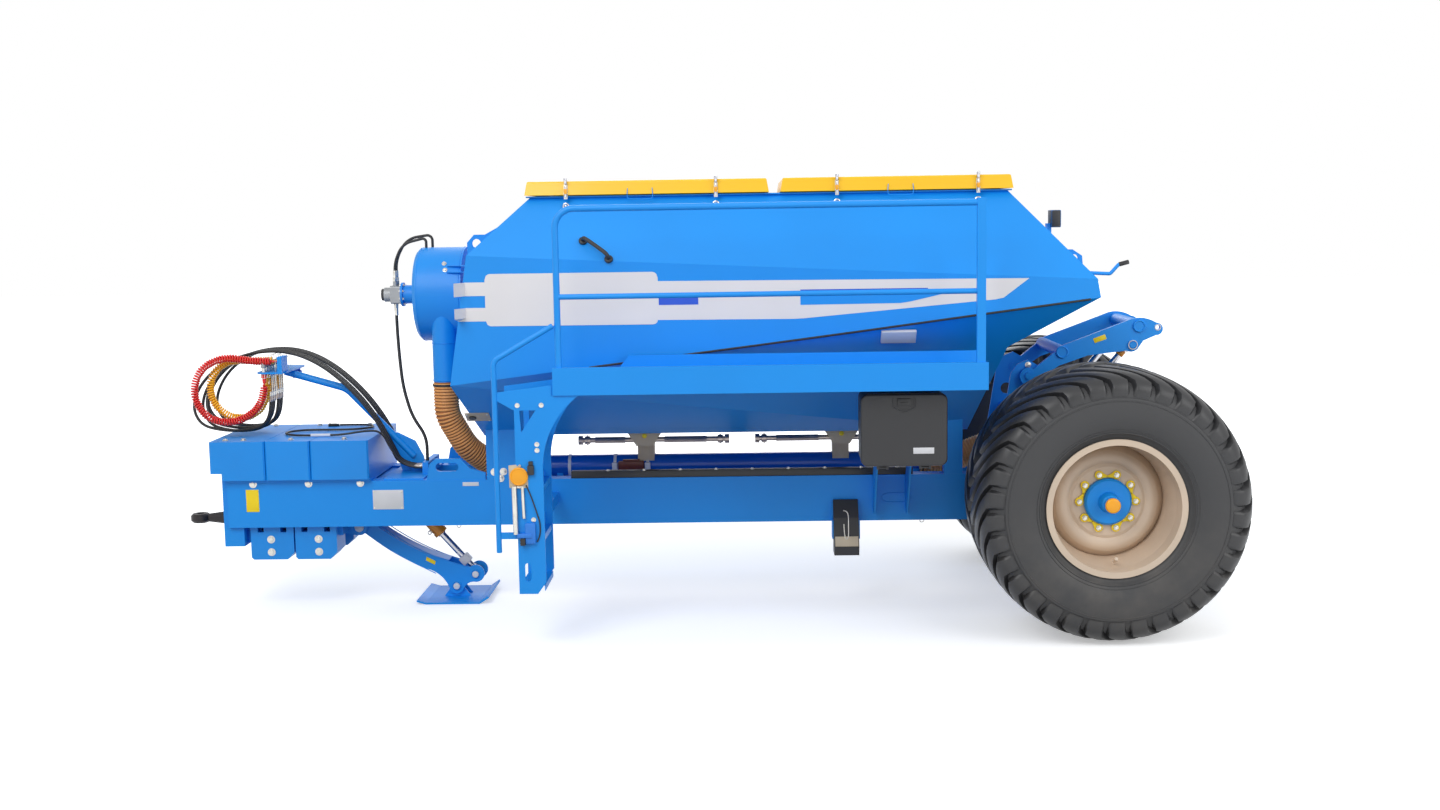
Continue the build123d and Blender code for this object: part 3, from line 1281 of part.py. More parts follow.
# electric cable, laid on the ballast in a loop
cable_z = upper_top + cable_radius + 3
save(line_tube([
    (manifold_front + weld_gap, 165, outlet_z), (4430, 165, outlet_z), (4520, 170, 1035), (4575, 180, 1165),
    (4690, 200, cable_z + 22), (4830, 215, cable_z), (5000, 226, cable_z), (5150, 212, cable_z),
    (5240, 125, cable_z), (5235, 5, cable_z), (5120, -62, cable_z), (4960, -48, cable_z), (4800, -62, cable_z),
    (4706, -150, cable_z), (4735, -262, cable_z), (4855, -312, cable_z), (4975, -300, cable_z),
], cable_radius, "electric_cable"), "electric_cable")

with BuildPart() as couplings:
    for y in (*hose_lanes, *coil_lanes):
        bottom = coupling_bottom if y in hose_lanes else coil_socket_bottom
        with Locations((at(socket_station), y, (bottom + rack_z - weld_gap) / 2)):
            Cylinder(coupling_radius, rack_z - weld_gap - bottom)
        with Locations((at(socket_station), y, rack_z + 20)):
            Cylinder(socket_radius - pin_gap, 42)
    # plug of the cable, in line with its end
    with BuildSketch(Plane(origin=(at(4975 + weld_gap), -300, cable_z), z_dir=(120, 12, 0))):
        Circle(9)
    extrude(amount=80)
save(couplings.part, "couplings")


# ---- Oil lines of the fan's motor, held at both ends ----
def drum_top(y, reach):
    """Height at which a tube's flat end clears the drum, at a distance y from its middle."""
    return fan_z + (fan_radius ** 2 - max(0, abs(y) - reach) ** 2) ** 0.5 + weld_gap


motor_port = motor_station + 38
motor_top = fan_z + 89 + weld_gap
pipe_radius = 9.0
supply_radius = 11.0
pipe_y = 26
fan_pipes = [
    ("return pipe", pipe_radius, [
        (motor_port, -pipe_y, motor_top), (motor_port, -pipe_y, 2285), (4402, -pipe_y, 2425),
        (4230, -pipe_y, 2450), (4230, -pipe_y, drum_top(pipe_y, pipe_radius))]),
    ("drain pipe", pipe_radius, [
        (motor_port, pipe_y, motor_top), (motor_port, pipe_y, 2268), (4420, pipe_y, 2392),
        (4262, pipe_y, 2430), (4262, pipe_y, drum_top(pipe_y, pipe_radius))]),
    ("supply hose", supply_radius, [
        (motor_port, 25, fan_z - 60 - weld_gap), (motor_port, 25, 1850), (4466, 45, 1650), (4442, 75, 1440),
        (4385, 98, 1250), (manifold_front - 20, 110, 1110), (manifold_front - 20, 110, manifold_top + weld_gap)]),
]
fan_lines = [line_tube(points, radius, name) for name, radius, points in fan_pipes]
save(Compound(children=fan_lines), "fan_lines")

# ---- Lid latches: a strap down the side of its lid, over the rim ----
latch_width = 22.0
latch_thickness = 8.0
latch_top = lid_top - 20
latch_bottom = rim_z - 20
lid_slope = lid_taper / (lid_top - lid_bottom)
# latch stations of each lid
latch_stations = [("rear_latches", (720, 1580)), ("front_latches", (2320, 3240))]
for name, stations in latch_stations:
    with BuildPart() as straps:
        for station in stations:
            side_foot = lid_half_width + weld_gap + 0.1
            side_head = side_foot - lid_slope * (latch_top - lid_bottom)
            with BuildSketch(cross_plane(station - latch_width / 2)):
                with BuildLine():
                    Polyline((side_foot, latch_bottom), (side_foot, lid_bottom), (side_head, latch_top),
                             (side_head + latch_thickness, latch_top),
                             (side_foot + latch_thickness, lid_bottom),
                             (side_foot + latch_thickness, latch_bottom), close=True)
                make_face()
                with Locations((side_foot + latch_thickness, lid_bottom + 8)):
                    Circle(latch_thickness - 0.5)
            extrude(amount=latch_width)
    save(straps.part, name)
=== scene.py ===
import math

import bpy
from mathutils import Matrix, Vector


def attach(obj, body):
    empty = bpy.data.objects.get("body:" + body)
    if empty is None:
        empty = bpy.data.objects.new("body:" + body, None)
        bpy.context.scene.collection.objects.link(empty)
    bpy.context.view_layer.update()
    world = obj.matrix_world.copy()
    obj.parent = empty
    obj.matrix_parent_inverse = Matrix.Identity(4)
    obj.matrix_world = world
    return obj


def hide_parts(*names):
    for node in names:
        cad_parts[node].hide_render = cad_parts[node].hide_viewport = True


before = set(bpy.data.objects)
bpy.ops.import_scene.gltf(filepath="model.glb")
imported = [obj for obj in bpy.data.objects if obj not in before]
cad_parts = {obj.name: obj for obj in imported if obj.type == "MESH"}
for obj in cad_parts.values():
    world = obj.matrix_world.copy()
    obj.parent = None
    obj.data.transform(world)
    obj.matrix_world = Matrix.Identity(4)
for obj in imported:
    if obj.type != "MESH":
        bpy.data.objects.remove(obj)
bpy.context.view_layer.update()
print("frame loaded:", len(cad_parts), "nodes")

axleX, axleZ = -2.5625, 0.815          # place of the wheel axle in metres
origin, frontWay, leftWay, upWay = (Vector(way) for way in ((0, 0, 0), (1, 0, 0), (0, 1, 0), (0, 0, 1)))


def at(station):
    # X of a point that lies station metres forward from the axle
    return axleX + station


def spot(station, y, z):
    return Vector((at(station), y, z))


def spots(corners):
    return [spot(*corner) for corner in corners]


def sideSpots(y, corners):
    # points at one Y from their stations and heights
    return [spot(station, y, height) for station, height in corners]


def clearSelection():
    if bpy.context.object and bpy.context.object.mode != "OBJECT":
        bpy.ops.object.mode_set(mode="OBJECT")
    bpy.ops.object.select_all(action="DESELECT")


def makeActive(*pieces):
    clearSelection()
    for piece in pieces:
        piece.select_set(True)
    bpy.context.view_layer.objects.active = pieces[0]


def newest(name="part"):
    piece = bpy.context.active_object
    piece.name = piece.data.name = name
    return piece


def applyPlace(piece):
    makeActive(piece)
    bpy.ops.object.transform_apply(location=True, rotation=True, scale=True)
    return piece


def roundEdges(piece, width, segments=2, angle=30):
    bevel = piece.modifiers.new("Rounded edges", "BEVEL")
    bevel.width = width
    bevel.segments = segments
    bevel.limit_method = "ANGLE"
    bevel.angle_limit = math.radians(angle)
    makeActive(piece)
    bpy.ops.object.modifier_apply(modifier=bevel.name)
    return piece


def turnOutward(piece):
    makeActive(piece)
    bpy.ops.object.mode_set(mode="EDIT")
    bpy.ops.mesh.select_all(action="SELECT")
    bpy.ops.mesh.normals_make_consistent(inside=False)
    bpy.ops.object.mode_set(mode="OBJECT")
    return piece


def joinPieces(pieces, name="part"):
    makeActive(*pieces)
    if len(pieces) > 1:
        bpy.ops.object.join()
    return newest(name)


def scatter(source, places):
    # one piece copied to every place, joined, and the source removed
    copies = []
    for place in places:
        piece = source.copy()
        piece.data = source.data.copy()
        bpy.context.scene.collection.objects.link(piece)
        piece.data.transform(place)
        copies.append(piece)
    bpy.data.objects.remove(source, do_unlink=True)
    return joinPieces(copies)


def dress(name, parts, look, smooth=35, body="chassis"):
    # parts made one named piece, with its finish and the CAD body it rides on
    piece = applyPlace(joinPieces(parts if isinstance(parts, list) else [parts], name))
    if piece.type == "MESH" and smooth:
        bpy.ops.object.shade_smooth_by_angle(angle=math.radians(smooth))
    piece.data.materials.append(looks[look])
    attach(piece, body)
    return piece


def roundBar(start, end, radius, bevel, sides=24):
    # a round bar between two points, or a hexagon or square one
    start, end = Vector(start), Vector(end)
    clearSelection()
    bpy.ops.mesh.primitive_cylinder_add(vertices=sides, radius=radius, depth=(end - start).length,
                                        location=(start + end) / 2,
                                        rotation=(end - start).to_track_quat("Z", "Y").to_euler())
    return roundEdges(applyPlace(newest()), bevel, 2, 50)


def block(low, high, bevel):
    # a block between two corners
    low, high = Vector(low), Vector(high)
    clearSelection()
    bpy.ops.mesh.primitive_cube_add(size=1, location=(low + high) / 2)
    piece = newest()
    piece.scale = high - low
    return roundEdges(applyPlace(piece), bevel)


def bars(foot, way, *rows):
    # round bars on one line from a foot: start, end, radius, bevel and number of sides
    return [roundBar(foot + way * start, foot + way * end, *size) for start, end, *size in rows]


def blocks(*rows):
    # blocks: station, Y and height of two corners, and bevel
    return [block(spot(*row[:3]), spot(*row[3:6]), row[6]) for row in rows]


def traceOutline(outline):
    # edges traced point by point, left selected in edit mode
    clearSelection()
    bpy.ops.mesh.primitive_plane_add(size=0.01, location=outline[0])
    piece = newest()
    bpy.ops.object.mode_set(mode="EDIT")
    bpy.ops.mesh.merge(type="CENTER")
    for here, there in zip(outline, outline[1:]):
        bpy.ops.mesh.extrude_region_move(TRANSFORM_OT_translate={"value": there - here})
    bpy.ops.mesh.select_all(action="SELECT")
    return piece


def tracedPlate(outline, depth, bevel=0.0):
    # a traced outline closed to a face and pulled out to its thickness
    piece = traceOutline([Vector(point) for point in outline])
    bpy.ops.mesh.edge_face_add()
    bpy.ops.mesh.extrude_region_move(TRANSFORM_OT_translate={"value": Vector(depth)})
    applyPlace(turnOutward(piece))
    return roundEdges(piece, bevel) if bevel else piece


def spunPiece(profile, centre, steps):
    # profile points (offset along Y, radius) spun about a line along Y through centre
    piece = traceOutline([centre + Vector((0, offset, radius)) for offset, radius in profile])
    bpy.ops.mesh.spin(steps=steps, angle=math.tau, center=centre, axis=(0, 1, 0))
    bpy.ops.mesh.select_all(action="SELECT")
    bpy.ops.mesh.remove_doubles(threshold=0.0004)
    return applyPlace(turnOutward(piece))


def routeLine(points, diameter, steps=8, sides=4, closed=False):
    # a round line whose points are the control points of one smooth spline
    line = bpy.data.curves.new("line", "CURVE")
    line.dimensions = "3D"
    line.bevel_depth = diameter / 2
    line.bevel_resolution = sides
    line.resolution_u = steps
    line.use_fill_caps = True
    spline = line.splines.new("NURBS")
    spline.points.add(len(points) - 1)
    for point, place in zip(spline.points, points):
        point.co = (*place, 1)
    spline.order_u = 3
    spline.use_endpoint_u = not closed
    spline.use_cyclic_u = closed
    piece = bpy.data.objects.new("line", line)
    bpy.context.scene.collection.objects.link(piece)
    return piece


def lineTube(points, radius, sides=4, closed=False):
    # a bent tube on a smooth line, made a mesh
    makeActive(routeLine(points, 2 * radius, 8, sides, closed))
    bpy.ops.object.convert(target="MESH")
    return newest()


def readRoute(points, steps=8):
    # the points that a route's smooth line passes through, and the lengths between them
    guide = routeLine(points, 0.0, steps)
    middle = [vertex.co.copy() for vertex in bpy.data.meshes.new_from_object(guide).vertices]
    bpy.data.objects.remove(guide, do_unlink=True)
    return middle, [(there - here).length for here, there in zip(middle, middle[1:])]


def walkRoute(middle, spans, goal):
    # place and direction at a distance along a route that was read
    index = 0
    while goal > spans[index] and index < len(spans) - 1:
        goal -= spans[index]
        index += 1
    way = (middle[index + 1] - middle[index]).normalized()
    return middle[index] + way * goal, way


def facing(point, direction, spin=0.0):
    # matrix that takes +Z to a direction at a point
    turn = Vector(direction).to_track_quat("Z", "Y").to_matrix().to_4x4()
    return Matrix.Translation(point) @ turn @ Matrix.Rotation(spin, 4, "Z")


def surfaceAt(node, start, way):
    # where a line that starts outside meets a CAD node, and the outward direction there
    found, place, normal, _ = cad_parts[node].ray_cast(Vector(start), Vector(way))
    if not found:
        raise ValueError(node + " is not met from " + str(start))
    return place, normal


def sideOf(node, station, height, side=1):
    # the same, along a level line from beside the cart
    return surfaceAt(node, spot(station, side * 3.0, height), (0, -side, 0))


def ringAt(place, way, radius, thickness, major, minor=8):
    # a round ring about a direction
    clearSelection()
    bpy.ops.mesh.primitive_torus_add(major_segments=major, minor_segments=minor, major_radius=radius,
                                     minor_radius=thickness, location=place,
                                     rotation=Vector(way).to_track_quat("Z", "Y").to_euler())
    return applyPlace(newest())


def rectangle(centre, across, up):
    # four corners round a centre, from half the width and half the height
    return [centre + across * a + up * b for a, b in ((-1, -1), (1, -1), (1, 1), (-1, 1))]


def circleOf(count, radius, start=0.5):
    # Y and height of points spread round a circle
    return [(radius * math.cos(angle), radius * math.sin(angle))
            for angle in (math.tau * (step + start) / count for step in range(count))]


def bothSides(corners, y):
    # points on both sides of the cart, each with its outward direction
    return [(spot(station, side * y, height), leftWay * side) for station, height in corners for side in (1, -1)]


def boltHead(radius, height):
    # hexagon head on a washer, facing +Z
    washerHeight = 0.003
    clearSelection()
    bpy.ops.mesh.primitive_cylinder_add(vertices=6, radius=radius, depth=height,
                                        location=(0, 0, washerHeight + height / 2))
    head = roundEdges(applyPlace(newest()), radius * 0.10)
    return joinPieces([head, *bars(origin, upWay, (0, washerHeight, radius * 1.45, 0.0008))])


def boltsAt(name, places, radius=0.015, height=0.012, look="zinc plate"):
    # places: (point, outward direction)
    turned = [facing(point, out, 0.3 * index) for index, (point, out) in enumerate(places)]
    return dress(name, scatter(boltHead(radius, height), turned), look, 30)


cameraPlace = {"location": (-0.4577, 10.6451, 2.5656), "turn": (83.135, 0.908, -178.889), "lens": 40.0,
               "sensor": 36.0, "farEnd": 200}
clearSelection()
bpy.ops.object.camera_add(location=cameraPlace["location"],
                          rotation=[math.radians(angle) for angle in cameraPlace["turn"]])
camera = bpy.context.active_object
camera.name = "camera"
camera.data.lens = cameraPlace["lens"]
camera.data.sensor_width = cameraPlace["sensor"]
camera.data.clip_end = cameraPlace["farEnd"]
bpy.context.scene.camera = camera
bpy.context.scene.view_settings.view_transform = "Standard"


def setInputs(node, values):
    for entry, value in values.items():
        node.inputs[entry].default_value = value
    return node


def addNode(tree, kind, values=None, **settings):
    # a shader node with its settings and its inputs' values
    node = tree.nodes.new("ShaderNode" + kind)
    for setting, value in settings.items():
        setattr(node, setting, value)
    return setInputs(node, values or {})


def wire(tree, *ends):
    # links, each given as a node, its output, the next node and its input
    for source, output, target, entry in ends:
        tree.links.new(source.outputs[output], target.inputs[entry])


def seenDirectly(tree):
    # light path node, and a node that is 1 for what is seen plainly, in a mirror or through glass
    ray = addNode(tree, "LightPath")
    sharp, direct = addNode(tree, "Math", operation="MAXIMUM"), addNode(tree, "Math", operation="MAXIMUM")
    wire(tree, (ray, "Is Glossy Ray", sharp, 0), (ray, "Is Transmission Ray", sharp, 1),
         (ray, "Is Camera Ray", direct, 0), (sharp, 0, direct, 1))
    return ray, direct


world = bpy.data.worlds.new("plain sky")
bpy.context.scene.world = world
world.use_nodes = True
sky = world.node_tree
sky.nodes.clear()
skyLight = addNode(sky, "Background", {"Color": (0.92, 0.96, 1.0, 1), "Strength": 0.70})
whiteSky = addNode(sky, "Background", {"Color": (1, 1, 1, 1), "Strength": 1.0})
skyMix, skyOut = addNode(sky, "MixShader"), addNode(sky, "OutputWorld")
wire(sky, (seenDirectly(sky)[1], 0, skyMix, "Fac"), (skyLight, 0, skyMix, 1), (whiteSky, 0, skyMix, 2),
     (skyMix, 0, skyOut, "Surface"))

# pale floor that shows the object's shadow near it and fades to the white backdrop further out
paleFloor = {"albedo": 0.9, "lessBounce": -0.58, "fadeFrom": 3.0, "fadeTo": 8.0, "nearGlow": 0.40, "size": 90}
floorLook = bpy.data.materials.new("pale floor")
floorLook.use_nodes = True
floorTree = floorLook.node_tree
floorShader = setInputs(floorTree.nodes["Principled BSDF"], {
    "Roughness": 0.9, "Specular IOR Level": 0.0, "Emission Color": (1, 1, 1, 1)})
floorPlace = addNode(floorTree, "TexCoord")
floorReach = addNode(floorTree, "VectorMath", operation="LENGTH")
floorFade = addNode(floorTree, "MapRange", {"From Min": paleFloor["fadeFrom"], "From Max": paleFloor["fadeTo"],
                                            "To Min": paleFloor["nearGlow"], "To Max": 1.0})
floorRay, floorSeen = seenDirectly(floorTree)
floorGlow = addNode(floorTree, "Math", operation="MULTIPLY")
floorBounce = addNode(floorTree, "Math", {1: paleFloor["lessBounce"], 2: paleFloor["albedo"]},
                      operation="MULTIPLY_ADD")
wire(floorTree, (floorRay, "Is Diffuse Ray", floorBounce, 0), (floorBounce, 0, floorShader, "Base Color"),
     (floorPlace, "Object", floorReach, 0), (floorReach, "Value", floorFade, "Value"),
     (floorSeen, 0, floorGlow, 0), (floorFade, "Result", floorGlow, 1),
     (floorGlow, 0, floorShader, "Emission Strength"))
clearSelection()
bpy.ops.mesh.primitive_plane_add(size=paleFloor["size"], location=(0, 0, -0.001))
floor = newest("floor")
floor.data.materials.append(floorLook)

# soft lamps: location, size, strength, aimed at
lamps = {
    "keyLamp": ((3.5, 7.5, 7.5), 5.0, 380, (0, 0, 1.2)),
    "fillLamp": ((-6.5, 6.0, 4.5), 5.0, 190, (-1, 0, 1.0)),
    "backLamp": ((0.0, -8.0, 6.5), 6.0, 260, (0, 0, 1.4)),
}
for lampName, (place, size, strength, aim) in lamps.items():
    clearSelection()
    direction = Vector(aim) - Vector(place)
    bpy.ops.object.light_add(type="AREA", location=place, rotation=direction.to_track_quat("-Z", "Y").to_euler())
    lamp = bpy.context.active_object
    lamp.name = lampName
    lamp.data.size = size
    lamp.data.energy = strength
print("camera, floor and lamps placed")


def newGroup(name, inputs, outputs):
    # a node group with its inputs, its outputs and the nodes that stand for them
    group = bpy.data.node_groups.new(name, "ShaderNodeTree")
    for direction, sockets in (("INPUT", inputs), ("OUTPUT", outputs)):
        for label, value in sockets.items():
            kind = "NodeSocketColor" if isinstance(value, tuple) else "NodeSocketFloat"
            made = group.interface.new_socket(name=label, in_out=direction, socket_type=kind)
            if direction == "INPUT":
                made.default_value = value
    return group, group.nodes.new("NodeGroupInput"), group.nodes.new("NodeGroupOutput")


def surfaceGroup():
    # mottling of a finish: colour and roughness that drift a little, and the height of a fine relief
    grey = (0.5, 0.5, 0.5, 1)
    group, entry, leave = newGroup("surface drift", {"Color": grey, "Drift": 0.1, "Scale": 3.0, "Rough": 0.4,
                                                     "Grain Scale": 300.0},
                                   {"Color": grey, "Roughness": 0.0, "Height": 0.0})
    place = addNode(group, "TexCoord")
    broad, fine = addNode(group, "TexNoise", {"Detail": 4}), addNode(group, "TexNoise", {"Detail": 2})
    swing = addNode(group, "MapRange", {"From Min": 0.3, "From Max": 0.7})     # noise to a factor round 1
    low = addNode(group, "Math", {0: 1.0}, operation="SUBTRACT")
    high = addNode(group, "Math", {0: 1.0}, operation="ADD")
    tint = addNode(group, "VectorMath", operation="SCALE")
    rough = addNode(group, "Math", operation="MULTIPLY")
    wire(group, (place, "Object", broad, "Vector"), (place, "Object", fine, "Vector"),
         (entry, "Scale", broad, "Scale"), (entry, "Grain Scale", fine, "Scale"), (entry, "Drift", low, 1),
         (entry, "Drift", high, 1), (broad, "Fac", swing, "Value"), (low, 0, swing, "To Min"),
         (high, 0, swing, "To Max"), (entry, "Color", tint, 0), (swing, "Result", tint, "Scale"),
         (entry, "Rough", rough, 0), (swing, "Result", rough, 1), (tint, "Vector", leave, "Color"),
         (rough, 0, leave, "Roughness"), (fine, "Fac", leave, "Height"))
    return group


def dustGroup():
    # road dust that settles low down and on faces that look up
    group, entry, leave = newGroup("settled dust", {"Color": (0.5, 0.5, 0.5, 1), "Dust": (0.36, 0.31, 0.25, 1),
                                                    "Amount": 0.2, "Top Height": 0.9},
                                   {"Color": (0.5, 0.5, 0.5, 1)})
    place, shape = addNode(group, "TexCoord"), addNode(group, "NewGeometry")
    split, splitNormal = addNode(group, "SeparateXYZ"), addNode(group, "SeparateXYZ")
    fade = addNode(group, "MapRange", {"To Min": 1.0, "To Max": 0.0})
    patch = addNode(group, "TexNoise", {"Scale": 7, "Detail": 6})
    sharpen = addNode(group, "MapRange", {"From Min": 0.35, "From Max": 0.75})
    upward = addNode(group, "MapRange", {"From Min": -0.4, "From Max": 1.0, "To Min": 0.25})
    first, second, third = (addNode(group, "Math", operation="MULTIPLY") for _ in range(3))
    blendIn = addNode(group, "Mix", data_type="RGBA")
    wire(group, (place, "Object", split, 0), (shape, "Normal", splitNormal, 0), (split, "Z", fade, "Value"),
         (entry, "Top Height", fade, "From Max"), (place, "Object", patch, "Vector"),
         (patch, "Fac", sharpen, "Value"), (splitNormal, "Z", upward, "Value"), (fade, "Result", first, 0),
         (sharpen, "Result", first, 1), (first, 0, second, 0), (upward, "Result", second, 1),
         (second, 0, third, 0), (entry, "Amount", third, 1), (third, 0, blendIn, "Factor"),
         (entry, "Color", blendIn, "A"), (entry, "Dust", blendIn, "B"), (blendIn, "Result", leave, "Color"))
    return group


surfaceDrift, settledDust = surfaceGroup(), dustGroup()

# finish: slot in the record, colour, roughness, metallic, drift, drift scale, relief in mm, grain scale,
# coat, dust
finishes = {
    "blue paint": ("blue_steel", (0.0, 0.285, 0.84), 0.46, 0.0, 0.035, 1.6, 0.06, 420, 0.04, 0.02),
    "duct blue": ("blue_steel", (0.0, 0.110, 0.56), 0.30, 0.0, 0.05, 1.6, 0.05, 420, 0.2, 0.0),
    "blue casting": ("blue_steel", (0.0, 0.275, 0.82), 0.45, 0.0, 0.05, 2.5, 0.5, 130, 0.08, 0.05),
    "yellow lid": ("yellow_lid", (1.0, 0.56, 0.0), 0.32, 0.0, 0.03, 2.0, 0.08, 260, 0.3, 0.0),
    "stripe white": ("blue_steel", (0.80, 0.77, 0.76), 0.4, 0.0, 0.02, 2.0, 0.02, 300, 0.0, 0.0),
    "cream paint": ("cream_rim", (0.68, 0.54, 0.41), 0.40, 0.0, 0.06, 5.0, 0.08, 300, 0.15, 0.25),
    # dark brown ring in the rim's groove between disc and well: painted shade on the cream paint
    "groove shade line": ("cream_rim", (0.17, 0.045, 0.02), 0.7, 0.0, 0.2, 30.0, 0.1, 300, 0.0, 0.0),
    "tyre rubber": ("tyre", (0.040, 0.040, 0.042), 0.55, 0.0, 0.10, 6.0, 0.5, 420, 0.0, 0.30),
    "tread rubber": ("tyre", (0.028, 0.028, 0.030), 0.42, 0.0, 0.10, 6.0, 0.4, 420, 0.0, 0.16),
    "black plastic": ("black_plastic", (0.022, 0.022, 0.024), 0.5, 0.0, 0.08, 8.0, 0.7, 520, 0.0, 0.05),
    "black rubber": ("black_rubber", (0.012, 0.012, 0.013), 0.45, 0.0, 0.08, 20.0, 0.15, 500, 0.0, 0.05),
    "zinc plate": ("galvanised", (0.62, 0.60, 0.55), 0.34, 0.9, 0.08, 30.0, 0.1, 300, 0.0, 0.0),
    "bright chrome": ("chrome", (0.50, 0.50, 0.53), 0.16, 1.0, 0.02, 20.0, 0.0, 300, 0.0, 0.0),
    "orange paint": ("orange_steel", (0.93, 0.31, 0.008), 0.36, 0.0, 0.05, 5.0, 0.08, 320, 0.2, 0.05),
    "amber plastic": ("orange_steel", (1.0, 0.42, 0.01), 0.35, 0.0, 0.04, 8.0, 0.1, 320, 0.1, 0.0),
    "signal yellow": ("yellow_lid", (1.0, 0.72, 0.01), 0.4, 0.0, 0.04, 8.0, 0.05, 320, 0.0, 0.0),
    "grey casting": ("grey_casting", (0.34, 0.35, 0.36), 0.5, 0.55, 0.12, 12.0, 0.6, 160, 0.0, 0.0),
    "forged steel": ("forged_steel", (0.032, 0.028, 0.030), 0.48, 0.6, 0.2, 9.0, 0.6, 90, 0.0, 0.1),
    # dark brown copy of the ribbed beige: painted shade in the fan hose's grooves between its ribs
    "hose groove shade": ("beige_hose", (0.36, 0.13, 0.035), 0.6, 0.0, 0.08, 6.0, 0.1, 300, 0.0, 0.0),
    "ribbed beige": ("beige_hose", (0.86, 0.38, 0.11), 0.48, 0.0, 0.08, 6.0, 0.1, 300, 0.05, 0.0),
    "beige plastic": ("beige_plastic", (0.60, 0.50, 0.36), 0.5, 0.0, 0.08, 8.0, 0.2, 300, 0.0, 0.05),
    "steel shaft": ("galvanised", (0.42, 0.36, 0.33), 0.36, 0.9, 0.15, 14.0, 0.2, 200, 0.0, 0.0),
    "red line": ("red_line", (0.80, 0.015, 0.012), 0.35, 0.0, 0.05, 20.0, 0.05, 300, 0.1, 0.0),
    "yellow line": ("yellow_line", (1.0, 0.50, 0.01), 0.35, 0.0, 0.05, 20.0, 0.05, 300, 0.1, 0.0),
    "plate white": ("galvanised", (0.72, 0.72, 0.74), 0.45, 0.0, 0.03, 8.0, 0.02, 300, 0.0, 0.0),
    "stripe blue": ("blue_steel", (0.020, 0.10, 0.62), 0.38, 0.0, 0.02, 2.0, 0.02, 300, 0.0, 0.0),
    "cap blue": ("blue_steel", (0.03, 0.22, 0.75), 0.4, 0.0, 0.05, 20.0, 0.2, 300, 0.0, 0.0),
    "brown resin": ("black_plastic", (0.16, 0.035, 0.022), 0.4, 0.0, 0.1, 20.0, 0.1, 300, 0.0, 0.0),
}
looks = {}
for name, (_, colour, rough, metal, drift, driftScale, relief, grain, coat, dust) in finishes.items():
    look = looks[name] = bpy.data.materials.new(name)
    look.use_nodes = True
    tree = look.node_tree
    shader = setInputs(tree.nodes["Principled BSDF"], {"Metallic": metal})
    if coat:
        setInputs(shader, {"Coat Weight": coat, "Coat Roughness": 0.12})
    mottled = addNode(tree, "Group", {"Color": (*colour, 1), "Drift": drift, "Scale": driftScale, "Rough": rough,
                                      "Grain Scale": grain}, node_tree=surfaceDrift)
    wire(tree, (mottled, "Roughness", shader, "Roughness"))
    if dust:
        dusty = addNode(tree, "Group", {"Amount": dust}, node_tree=settledDust)
        wire(tree, (mottled, "Color", dusty, "Color"), (dusty, "Color", shader, "Base Color"))
    else:
        wire(tree, (mottled, "Color", shader, "Base Color"))
    if relief:
        bump = addNode(tree, "Bump", {"Strength": 0.6, "Distance": relief / 1000})
        wire(tree, (mottled, "Height", bump, "Height"), (bump, "Normal", shader, "Normal"))

# finish of every CAD node
nodeFinishes = {
    "blue paint": ("main_frame", "axle_beam", "left_hub", "right_hub", "hopper", "hopper_supports", "walkway",
                   "toe_board", "guard_rail", "ladder", "walkway_brackets", "stand_leg", "stand_foot",
                   "lift_towers", "lift_arms", "fan_housing", "hopper_fittings", "hose_arm"),
    "duct blue": ("air_tube",),
    "black rubber": ("fan_lines",),
    "blue casting": ("upper_ballast", "lower_ballast"),
    "yellow lid": ("front_lid", "rear_lid"),
    "cream paint": ("left_rim", "right_rim"),
    "tyre rubber": ("left_tyre", "right_tyre"),
    "forged steel": ("towing_eye",),
    "zinc plate": ("lid_hinges", "stand_frame_pins", "stand_leg_pins", "couplings", "front_latches",
                   "rear_latches"),
    "black plastic": ("toolbox", "toolbox_door", "wheel_chock"),
    "orange paint": ("stand_cylinder", "left_lift_cylinder", "right_lift_cylinder"),
    "bright chrome": ("stand_cylinder_rod", "left_lift_cylinder_rod", "right_lift_cylinder_rod"),
    "grey casting": ("fan_motor",),
    "ribbed beige": ("fan_hose", "rear_air_hose"),
    "beige plastic": ("metering_housings",),
    "steel shaft": ("metering_shafts",),
}
for name, nodeNames in nodeFinishes.items():
    for nodeName in nodeNames:
        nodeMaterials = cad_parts[nodeName].data.materials
        nodeMaterials.clear()
        nodeMaterials.append(looks[name])
print("finishes made:", len(looks))

# hoses over the rack: stations and heights in metres, lanes in Y
rack = {"outlet": 4.3103, "outletHeight": 0.912, "station": 5.320,
        "lanes": (-0.125, -0.085, -0.045, 0.045, 0.085, 0.125)}


def couplingAt(name, lane, gripLook):
    # coupling under the rack: knurled sleeve, collar, and a long grip beside it with finger ridges
    station = rack["station"]
    sleeve = bars(spot(station, lane, 0), upWay, (1.405, 1.425, 0.0185, 0.001, 6), (1.425, 1.458, 0.0178, 0.002),
                  (1.520, 1.552, 0.0184, 0.003))
    grip = blocks((station - 0.014, lane - 0.0165, 1.426, station + 0.036, lane + 0.0165, 1.540, 0.006))
    for step in range(5):
        grip += bars(spot(station + 0.020, lane, 1.438 + 0.019 * step), upWay, (0, 0.011, 0.0176, 0.003, 20))
    return [dress(name + "Sleeve", sleeve, "zinc plate"), dress(name + "Grip", grip, gripLook)]


